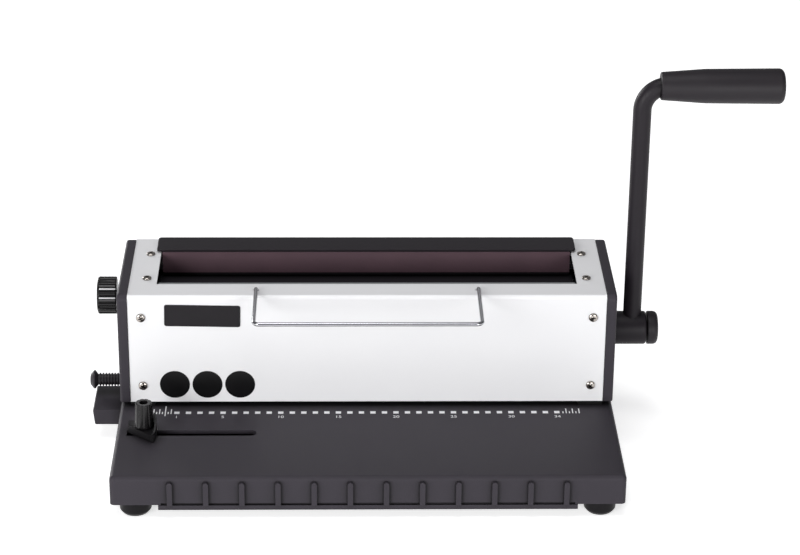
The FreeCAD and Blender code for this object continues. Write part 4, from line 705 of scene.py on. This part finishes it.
def marginPieces():
    low, high = toMm("margin_knob")
    middle, full = (low + high) / 2, high.x - low.x
    head, long, barrel, deep = margin["head"], margin["headLong"], margin["barrel"], margin["groove"]
    dome, edge = margin["dome"], margin["edge"]
    profile = rounded([(0, 0, 0), (0, head * margin["crown"], margin["crownRound"]),
                       (dome, head, margin["domeRound"]), (dome + margin["rim"], head, margin["rimRound"]),
                       (long, barrel - deep, 0)], steps=6)
    pitch = margin["ribbed"] / margin["ridges"]
    profile += [(long + (ridge + share) * pitch, barrel - deep * (1 - rise))
                for ridge in range(margin["ridges"]) for share, rise in margin["ridge"]]
    collar = long + margin["ribbed"] + margin["collarGap"]
    profile += [(collar, barrel - deep), (collar, barrel - margin["collarEdge"]), (full - edge, barrel),
                (full, barrel - edge), (full, 0)]
    mesh = turned("marginKnob", profile, (low.x, middle.y, middle.z), "x", margin["sides"])
    addPiece(mesh, satinFace, "margin_stop", "margin_knob")


marginPieces()


# Clamp knob of the paper guide: small fluted knob with a cup in its top, on its own screw

clamp = {"flutes": 10, "flute": 0.9, "fluteOut": 0.4, "fluteFull": 2.0, "fluteRun": 0.8, "sides": 10,
         "plain": 1.5, "nick": 0.0, "nickWide": 2.6, "screw": 2.5, "screwEdge": 0.4, "high": 18.8,
         "footEdge": 0.5, "waist": 0.1, "taper": 1.0, "edge": 0.4, "cup": 6.1, "cupEdge": 0.2, "cupDeep": 3.0,
         "cupTaper": 0.2, "cupRound": 0.3}


def clampPieces():
    low, high = toMm("guide_knob")
    middle, radius, full = (low + high) / 2, (high.x - low.x) / 2, high.z - low.z
    screwRadius, cup = clamp["screw"], clamp["cup"] / 2
    seat, bottom = full - clamp["high"], full - clamp["cupDeep"]
    profile = rounded([(0, 0, 0), (0, screwRadius, clamp["screwEdge"]), (seat, screwRadius, 0),
                       (seat, radius, clamp["footEdge"]),
                       (seat + clamp["fluteFull"], radius - clamp["waist"], 0),
                       (full, radius - clamp["taper"], clamp["edge"]), (full, cup, clamp["cupEdge"]),
                       (bottom, cup - clamp["cupTaper"], clamp["cupRound"]), (bottom, 0, 0)], steps=4)
    mesh = turned("clampKnob", profile, (middle.x, middle.y, low.z), "z", clamp["flutes"] * clamp["sides"],
                  fluteWave(clamp, radius, seat))
    addPiece(mesh, bySlot["black_knob"], "clamp_knob", "guide_knob")


clampPieces()
print("knobs made")


# Wire rack: one bent chrome wire

rack = {"wire": 3.0, "bend": 4.0, "footBend": 3.0, "bendSteps": 10, "sides": 20, "tip": 0.4}


def rackPiece():
    low, high = toMm("wire_rack")
    radius = rack["wire"] / 2
    left, right, front, back = low.x + radius, high.x - radius, low.y + radius, high.y - radius
    top = high.z - radius
    corners = [Vector(point) for point in ((left, back, low.z), (left, back, top), (left, front, top),
                                           (right, front, top), (right, back, top), (right, back, low.z))]
    bends = [rack["footBend"], rack["bend"], rack["bend"], rack["footBend"]]
    wire = rod("wireRack", bentRoute(corners, bends, rack["bendSteps"]), radius, rack["sides"], rack["tip"])
    addPiece(wire, bySlot["chrome_wire"], "rack", "wire_rack")


rackPiece()
print("rack made")


# Screws: cold-formed pan heads with a cross recess; spins are the degrees at which each came to rest

screw = {"head": 3.3, "rim": 0.9, "dome": 2.0, "roundness": 2.4, "domeAt": (0.985, 0.93, 0.84, 0.72),
         "edge": 0.12, "arm": 1.75, "slot": 0.42, "deep": 1.3, "recess": ((1, 0), (0.8, 0.55), (0.45, 1)),
         "shank": 1.45, "point": 0.7, "pointLong": 0.6, "lead": 0.5, "root": 0.82, "bare": 1.0,
         "upright": 0.9, "coverLong": 4.6, "rearLong": 4.1, "earInset": 3.2, "earDepths": (30.0, 73.5),
         "wallHeights": (49.4, 104.6), "spins": (12, 57, 33, 74, 20, 65, 41, 8), "rearSpin": 30}


def panScrew(name, long):
    # Head up along Z with its underside at zero; the recess is a cross that tapers down.
    head, high, rim, shank = screw["head"], screw["dome"], screw["rim"], screw["shank"]
    arm, wall, lead = screw["arm"], screw["slot"], screw["lead"]
    quarter = [(wall, wall), (wall, (wall + arm) / 2), (wall, arm), (0, arm), (-wall, arm),
               (-wall, (wall + arm) / 2)]
    sides = 4 * len(quarter)

    def dome(radius):
        return rim + (high - rim) * math.sqrt(max(1 - (radius / head) ** screw["roundness"], 0))

    tip = screw["pointLong"] - long
    levels = [(-long, shank * screw["point"]), (tip, shank)]
    levels += [(tip + lead * step, shank if step % 2 else shank * screw["root"])
               for step in range(1, int((long - screw["bare"]) / lead))]
    levels += [(0, shank), (0, head - screw["edge"]), (screw["edge"], head), (rim * screw["upright"], head)]
    levels += [(dome(head * share), head * share) for share in screw["domeAt"]]
    build = bmesh.new()
    rings = []
    for height, radius in levels:
        rings.append([build.verts.new((radius * math.cos(a) * mm, radius * math.sin(a) * mm, height * mm))
                      for a in (math.radians(45 + 360 * step / sides) for step in range(sides))])
    for share, drop in screw["recess"]:
        ring = []
        for turn in (Matrix.Rotation(math.radians(90 * step), 2) for step in range(4)):
            for point in (turn @ Vector(corner) for corner in quarter):
                height = high - screw["deep"] * drop if drop else dome(point.length)
                inward = share if point.length > wall * 2 else (1 + share) / 2
                ring.append(build.verts.new(Vector((point.x * inward, point.y * inward, height)) * mm))
        rings.append(ring)
    skin(build, rings)
    return meshFrom(name, build, sharp=38)


def screwPieces():
    low, high = toMm("cover_screws")
    left, right = low.x + screw["head"], high.x - screw["head"]
    spins = iter(screw["spins"])
    cover = [at((x, coverFace + y, coverTop), aim=(0, 0, next(spins)))
             for x in (left + screw["earInset"], right - screw["earInset"]) for y in screw["earDepths"]]
    cover += [at((x, coverFace, z), aim=(90, next(spins), 0))
              for x in (left, right) for z in screw["wallHeights"]]
    rear = [at((x, toMm("rear_cover")[1].y, z), aim=(-90, screw["rearSpin"], 0))
            for x in (left, right) for z in screw["wallHeights"]]
    nickel = bySlot["plated_screw"]
    for name, long, places, node in (("coverScrews", screw["coverLong"], cover, "cover_screws"),
                                     ("rearCoverScrews", screw["rearLong"], rear, "rear_cover_screws")):
        addPiece(repeated(name, panScrew(name + "Shape", long), places, nickel), nickel, "machine", node)


screwPieces()
print("screws made")


# Return springs round the guide posts, which shorten as the punch bar comes down

coil = {"wire": 1.2, "turns": 6.0, "steps": 28, "sides": 12}


def coilGroup():
    # Round wire wound into a coil along Z; turns, radius, height and wire radius are inputs.
    group, given = newGroup("coil spring", Turns="Float", Radius="Float", Height="Float", Wire="Float",
                            Material="Material")
    helix = addNode(group, "GeometryNodeCurveSpiral",
                    {"Resolution": coil["steps"], "Rotations": given["Turns"], "Height": given["Height"],
                     "Start Radius": given["Radius"], "End Radius": given["Radius"]})
    ring = addNode(group, "GeometryNodeCurvePrimitiveCircle",
                   {"Resolution": coil["sides"], "Radius": given["Wire"]})
    wire = addNode(group, "GeometryNodeCurveToMesh", {"Curve": helix.outputs["Curve"], "Fill Caps": True,
                                                      "Profile Curve": ring.outputs["Curve"]})
    smooth = addNode(group, "GeometryNodeSetShadeSmooth",
                     {"Geometry": wire.outputs["Mesh"], "Shade Smooth": True})
    return endGroup(group, smooth.outputs["Geometry"], given["Material"])


def springPieces():
    steel = bySlot["spring_steel"]
    sides = [toMm("return_spring_left"), toMm("return_spring_right")]
    low, high = sides[0]
    wire, tall = coil["wire"], high.z - low.z
    shape = baked("springCoil", coilGroup(),
                  {"Turns": coil["turns"], "Radius": (high.x - low.x - wire) / 2 * mm,
                   "Height": (tall - wire) * mm, "Wire": wire / 2 * mm, "Material": steel})
    places = [at(((a.x + b.x) / 2, (a.y + b.y) / 2, a.z + wire / 2)) for a, b in sides]
    piece = addPiece(repeated("returnSprings", shape, places, steel), steel, "machine", "return_spring_left",
                     "return_spring_right")
    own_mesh(piece)


springPieces()
print("springs made")


# Rubber feet with a bevelled sole and a recess for their screw

foot = {"high": 10.5, "radius": 11.5, "edge": 0.4, "edgeRound": 0.3, "recess": 5.0, "recessHigh": 4.0,
        "mouth": 0.35, "mouthWide": 0.5, "sole": 2.4, "soleRound": 1.2, "bevel": 2.8, "bevelRound": 1.6,
        "bulge": 0.2, "sides": 56}


def footPieces():
    low, high = toMm("rubber_feet")
    radius, top, soft = foot["radius"], foot["high"], foot["edgeRound"]
    recess, recessHigh = foot["recess"], foot["recessHigh"]
    profile = rounded([(recessHigh, 0, 0), (recessHigh, recess, soft), (foot["mouth"], recess, 0),
                       (0, recess + foot["mouthWide"], soft), (0, radius - foot["sole"], foot["soleRound"]),
                       (foot["bevel"], radius - foot["bulge"], foot["bevelRound"]),
                       (top - foot["edge"], radius, soft), (top, radius - foot["edge"], 0),
                       (top, 0, 0)], steps=5)
    shape = turned("footShape", profile, (0, 0, 0), "z", foot["sides"])
    places = [at((x, y, 0)) for x in (low.x + radius, high.x - radius)
              for y in (low.y + radius, high.y - radius)]
    rubber = bySlot["foot_rubber"]
    addPiece(repeated("rubberFeet", shape, places, rubber), rubber, "machine", "rubber_feet")


footPieces()
print("feet made")


# White prints on the paper table: a dash and some numbers for the holes, and ruler lines past both ends

marks = {"count": 34, "pitch": 8.467, "dash": (3.9, 3.6), "depth": -11.1, "film": 0.03,
         "numbers": (1, 5, 10, 15, 20, 25, 30, 34), "numberHigh": 5.0, "numberDepth": -19.4}
ticks = {"wide": 0.75, "foot": -12.9, "short": 3.1, "tall": 7.5, "long": 12.2, "below": 3.3, "left": -4.24,
         "leftStep": -2.12, "right": 4.5, "rightStep": 2.39}
firstHole = bodyMiddle - marks["pitch"] * (marks["count"] - 1) / 2
printLift = tableTop + marks["film"] / 2


def printBars(name, bars):
    # Flat white bars on the paper table; each bar is its middle in x and y, its width and its depth.
    places = [at((x, coverFace + y, printLift), size=(wide, deep, marks["film"]))
              for x, y, wide, deep in bars]
    shape = bmesh.new()
    bmesh.ops.create_cube(shape, size=mm)
    mesh = repeated(name, meshFrom(name + "Shape", shape), places, whiteInk)
    addPiece(mesh, whiteInk, "machine", slotName=slotOf["base"])


def holePrints():
    wide, deep = marks["dash"]
    printBars("scaleDashes", [(firstHole + marks["pitch"] * index, marks["depth"], wide, deep)
                              for index in range(marks["count"])])
    build = bmesh.new()
    for number in marks["numbers"]:
        text = bpy.data.curves.new("number", "FONT")
        text.body = str(number)
        text.size = marks["numberHigh"] * mm
        text.align_x = "CENTER"
        text.extrude = marks["film"] / 2 * mm
        item = bpy.data.objects.new("number", text)
        scene.collection.objects.link(item)
        x, y = firstHole + marks["pitch"] * (number - 1), coverFace + marks["numberDepth"]
        mesh = frozen(item)
        mesh.transform(Matrix.Translation(Vector((x, y, printLift)) * mm))
        build.from_mesh(mesh)
    addPiece(meshFrom("scaleNumbers", build), whiteInk, "machine", slotName=slotOf["base"])


def tickPrints():
    # Short and tall ruler lines by turns; the long one reaches below the others.
    short, tall, full = ticks["short"], ticks["tall"], ticks["long"]
    lastHole = firstHole + marks["pitch"] * (marks["count"] - 1)
    rows = ((firstHole + ticks["left"], ticks["leftStep"], (tall, short, full, short, tall, short, tall)),
            (lastHole + ticks["right"], ticks["rightStep"], (short, tall, short, tall, short, tall)))
    bars = []
    for start, step, row in rows:
        for index, long in enumerate(row):
            below = ticks["below"] if long == full else 0
            y = ticks["foot"] + (long - below) / 2
            bars.append((start + step * index, y, ticks["wide"], long + below))
    printBars("scaleTicks", bars)


holePrints()
tickPrints()


# Bare badge plate and three bare discs on the front cover

badge = {"left": -147.6, "right": -92.4, "low": 97.7, "high": 114.6, "tilt": -1.0, "corner": 1.5,
         "thick": 0.9, "edge": 0.25, "lift": 0.02}
discs = {"at": (-141.3, -117.4, -93.4), "high": 50.3, "radius": 11.0, "thick": 0.5, "lift": 0.02, "edge": 0.2,
         "shoulder": 0.6, "crown": 0.05, "sides": 64}


def badgePieces():
    left, right, low, high = (badge[side] for side in ("left", "right", "low", "high"))
    middle = Vector((bodyMiddle + (left + right) / 2, coverFace, (low + high) / 2))
    tilt = Matrix.Rotation(math.radians(-badge["tilt"]), 3, "Y")
    outline = roundedBox(right - left, high - low, badge["corner"], steps=5)
    mesh = plate("badgePlate", outline, badge["lift"], badge["thick"], badge["edge"],
                 lambda u, v, w: middle + tilt @ Vector((u, -w, v)))
    addPiece(mesh, badgeFace, "machine", slotName="black_knob")

    radius, thick = discs["radius"], discs["thick"]
    profile = rounded([(discs["lift"], 0, 0), (discs["lift"], radius, 0),
                       (thick - discs["edge"], radius, discs["edge"]), (thick, radius - discs["shoulder"], 0),
                       (thick + discs["crown"], 0, 0)], steps=3)
    forward = [(-along, size) for along, size in profile]
    places = [at((bodyMiddle + x, coverFace, discs["high"])) for x in discs["at"]]
    shape = turned("discShape", forward, (0, 0, 0), "y", discs["sides"])
    addPiece(repeated("frontDiscs", shape, places, discFace), discFace, "machine", slotName="black_knob")


badgePieces()
print("prints and badge made")


# Floor, light and camera, in metres; glow and sky go from their first to their second strength

studio = {"floor": 6, "floorColour": "#f4f4f4", "glow": (0.62, 1.0), "glowFrom": (0.6, 2.4),
          "skyColour": "#f4f4f8", "sky": (0.06, 0.24), "skyFrom": (-0.1, 0.8), "backdropTop": 0.14}
# Place, target, width and height, and power of each lamp
lamps = {
    "key": ((-1.75, -2.25, 0.8), (-0.05, 0, 0.06), (1.3, 1.2), 52),
    "fill": ((0.9, -2.5, 0.5), (0, 0, 0.06), (1.0, 0.6), 22.5),
    "top": ((-0.3, -0.25, 2.5), (0, 0.05, 0.1), (1.6, 1.0), 22),
    "back card": ((0, 2.6, 1.35), (0, 0, 0.1), (3.2, 0.9), 3),
    "left back": ((-1.7, 2.0, 0.6), (0, 0, 0.06), (1.0, 0.9), 24),
}
# The camera's angles in degrees, and its place from the body's middle and the cover's face in millimetres
view = {"pitch": 24.706, "yaw": 1.4266, "roll": 0.5576, "right": -18.79, "behind": -1696.09, "high": 917.21,
        "lens": 116.28, "sensor": 36, "clip": (0.05, 30)}


def seenRays(tree):
    # One for the camera's rays and for those that metal or glass sends on: they meet a white background.
    path = addNode(tree, "ShaderNodeLightPath")
    seen = path.outputs["Is Camera Ray"]
    for kind in ("Is Glossy Ray", "Is Transmission Ray"):
        either = addNode(tree, "ShaderNodeMath", {0: seen, 1: path.outputs[kind]}, operation="MAXIMUM")
        seen = either.outputs["Value"]
    return seen


def floorPiece():
    # Pale studio floor: white to the eye also where the lamps no longer reach, and it keeps the soft shadow.
    build = bmesh.new()
    bmesh.ops.create_grid(build, x_segments=1, y_segments=1, size=studio["floor"])
    mesh = bpy.data.meshes.new("floor")
    build.to_mesh(mesh)
    build.free()
    floor = bpy.data.objects.new("floor", mesh)
    scene.collection.objects.link(floor)
    material = bpy.data.materials.new("pale studio floor")
    tree = emptyTree(material)
    diffuse = addNode(tree, "ShaderNodeBsdfDiffuse", {"Color": sRgb(studio["floorColour"])})
    (near, far), (weak, full) = studio["glowFrom"], studio["glow"]
    place = addNode(tree, "ShaderNodeTexCoord")
    away = addNode(tree, "ShaderNodeVectorMath", {0: place.outputs["Object"]}, operation="LENGTH")
    lift = addNode(tree, "ShaderNodeMapRange",
                   {"Value": away.outputs["Value"], "From Min": near, "From Max": far, "To Min": weak,
                    "To Max": full}, interpolation_type="SMOOTHSTEP")
    seen = addNode(tree, "ShaderNodeMath", {0: seenRays(tree), 1: lift.outputs["Result"]},
                   operation="MULTIPLY")
    glow = addNode(tree, "ShaderNodeEmission", {"Color": sRgb("#ffffff"), "Strength": seen.outputs["Value"]})
    both = addNode(tree, "ShaderNodeAddShader", {0: diffuse.outputs["BSDF"], 1: glow.outputs["Emission"]})
    addNode(tree, "ShaderNodeOutputMaterial", {"Surface": both.outputs["Shader"]})
    mesh.materials.append(material)


def worldLight():
    # Soft light, stronger from above; metal sees a white backdrop low down and a darker ceiling over it.
    scene.world = bpy.data.worlds.new("studio")
    tree = emptyTree(scene.world)
    (bottom, top), (weak, full) = studio["skyFrom"], studio["sky"]
    place = addNode(tree, "ShaderNodeTexCoord")
    height = addNode(tree, "ShaderNodeSeparateXYZ", {"Vector": place.outputs["Generated"]})
    rise = addNode(tree, "ShaderNodeMapRange",
                   {"Value": height.outputs["Z"], "From Min": bottom, "From Max": top, "To Min": weak,
                    "To Max": full}, interpolation_type="SMOOTHSTEP")
    soft = addNode(tree, "ShaderNodeBackground",
                   {"Color": sRgb(studio["skyColour"]), "Strength": rise.outputs["Result"]})
    white = addNode(tree, "ShaderNodeBackground", {"Color": sRgb("#ffffff"), "Strength": 1.0})
    low = addNode(tree, "ShaderNodeMapRange",
                  {"Value": height.outputs["Z"], "From Min": 0.0, "From Max": studio["backdropTop"],
                   "To Min": 1.0, "To Max": 0.0}, interpolation_type="SMOOTHSTEP")
    backdrop = addNode(tree, "ShaderNodeMath", {0: seenRays(tree), 1: low.outputs["Result"]},
                       operation="MULTIPLY")
    path = addNode(tree, "ShaderNodeLightPath")
    shown = addNode(tree, "ShaderNodeMath", {0: path.outputs["Is Camera Ray"], 1: backdrop.outputs["Value"]},
                    operation="MAXIMUM")
    mixed = addNode(tree, "ShaderNodeMixShader", {0: shown.outputs["Value"], 1: soft.outputs["Background"],
                                                  2: white.outputs["Background"]})
    addNode(tree, "ShaderNodeOutputWorld", {"Surface": mixed.outputs["Shader"]})


def addLamp(name, place, target, size, power):
    lamp = bpy.data.lights.new(name, "AREA")
    lamp.shape = "RECTANGLE"
    lamp.size, lamp.size_y = size
    lamp.energy = power
    item = bpy.data.objects.new(name, lamp)
    item.location = place
    item.rotation_mode = "QUATERNION"
    item.rotation_quaternion = (Vector(place) - Vector(target)).to_track_quat("Z", "Y")
    scene.collection.objects.link(item)


def studioCamera():
    # Fitted to the photograph by the printed marks, whose pitch is known, and the long straight edges.
    pitch, yaw, roll = (math.radians(view[angle]) for angle in ("pitch", "yaw", "roll"))
    aim = Matrix.Rotation(-yaw, 4, "Z") @ Matrix.Rotation(math.pi / 2 - pitch, 4, "X")
    lens = bpy.data.cameras.new("camera")
    lens.sensor_width = view["sensor"]
    lens.sensor_fit = "HORIZONTAL"
    lens.lens = view["lens"]
    lens.clip_start, lens.clip_end = view["clip"]
    camera = bpy.data.objects.new("camera", lens)
    place = Vector((bodyMiddle + view["right"], coverFace + view["behind"], view["high"])) * mm
    camera.matrix_world = Matrix.Translation(place) @ aim @ Matrix.Rotation(roll, 4, "Z")
    scene.collection.objects.link(camera)
    scene.camera = camera


floorPiece()
worldLight()
for name, (place, target, size, power) in lamps.items():
    addLamp(name, place, target, size, power)
studioCamera()
scene.view_settings.view_transform = "Standard"
print("studio made")
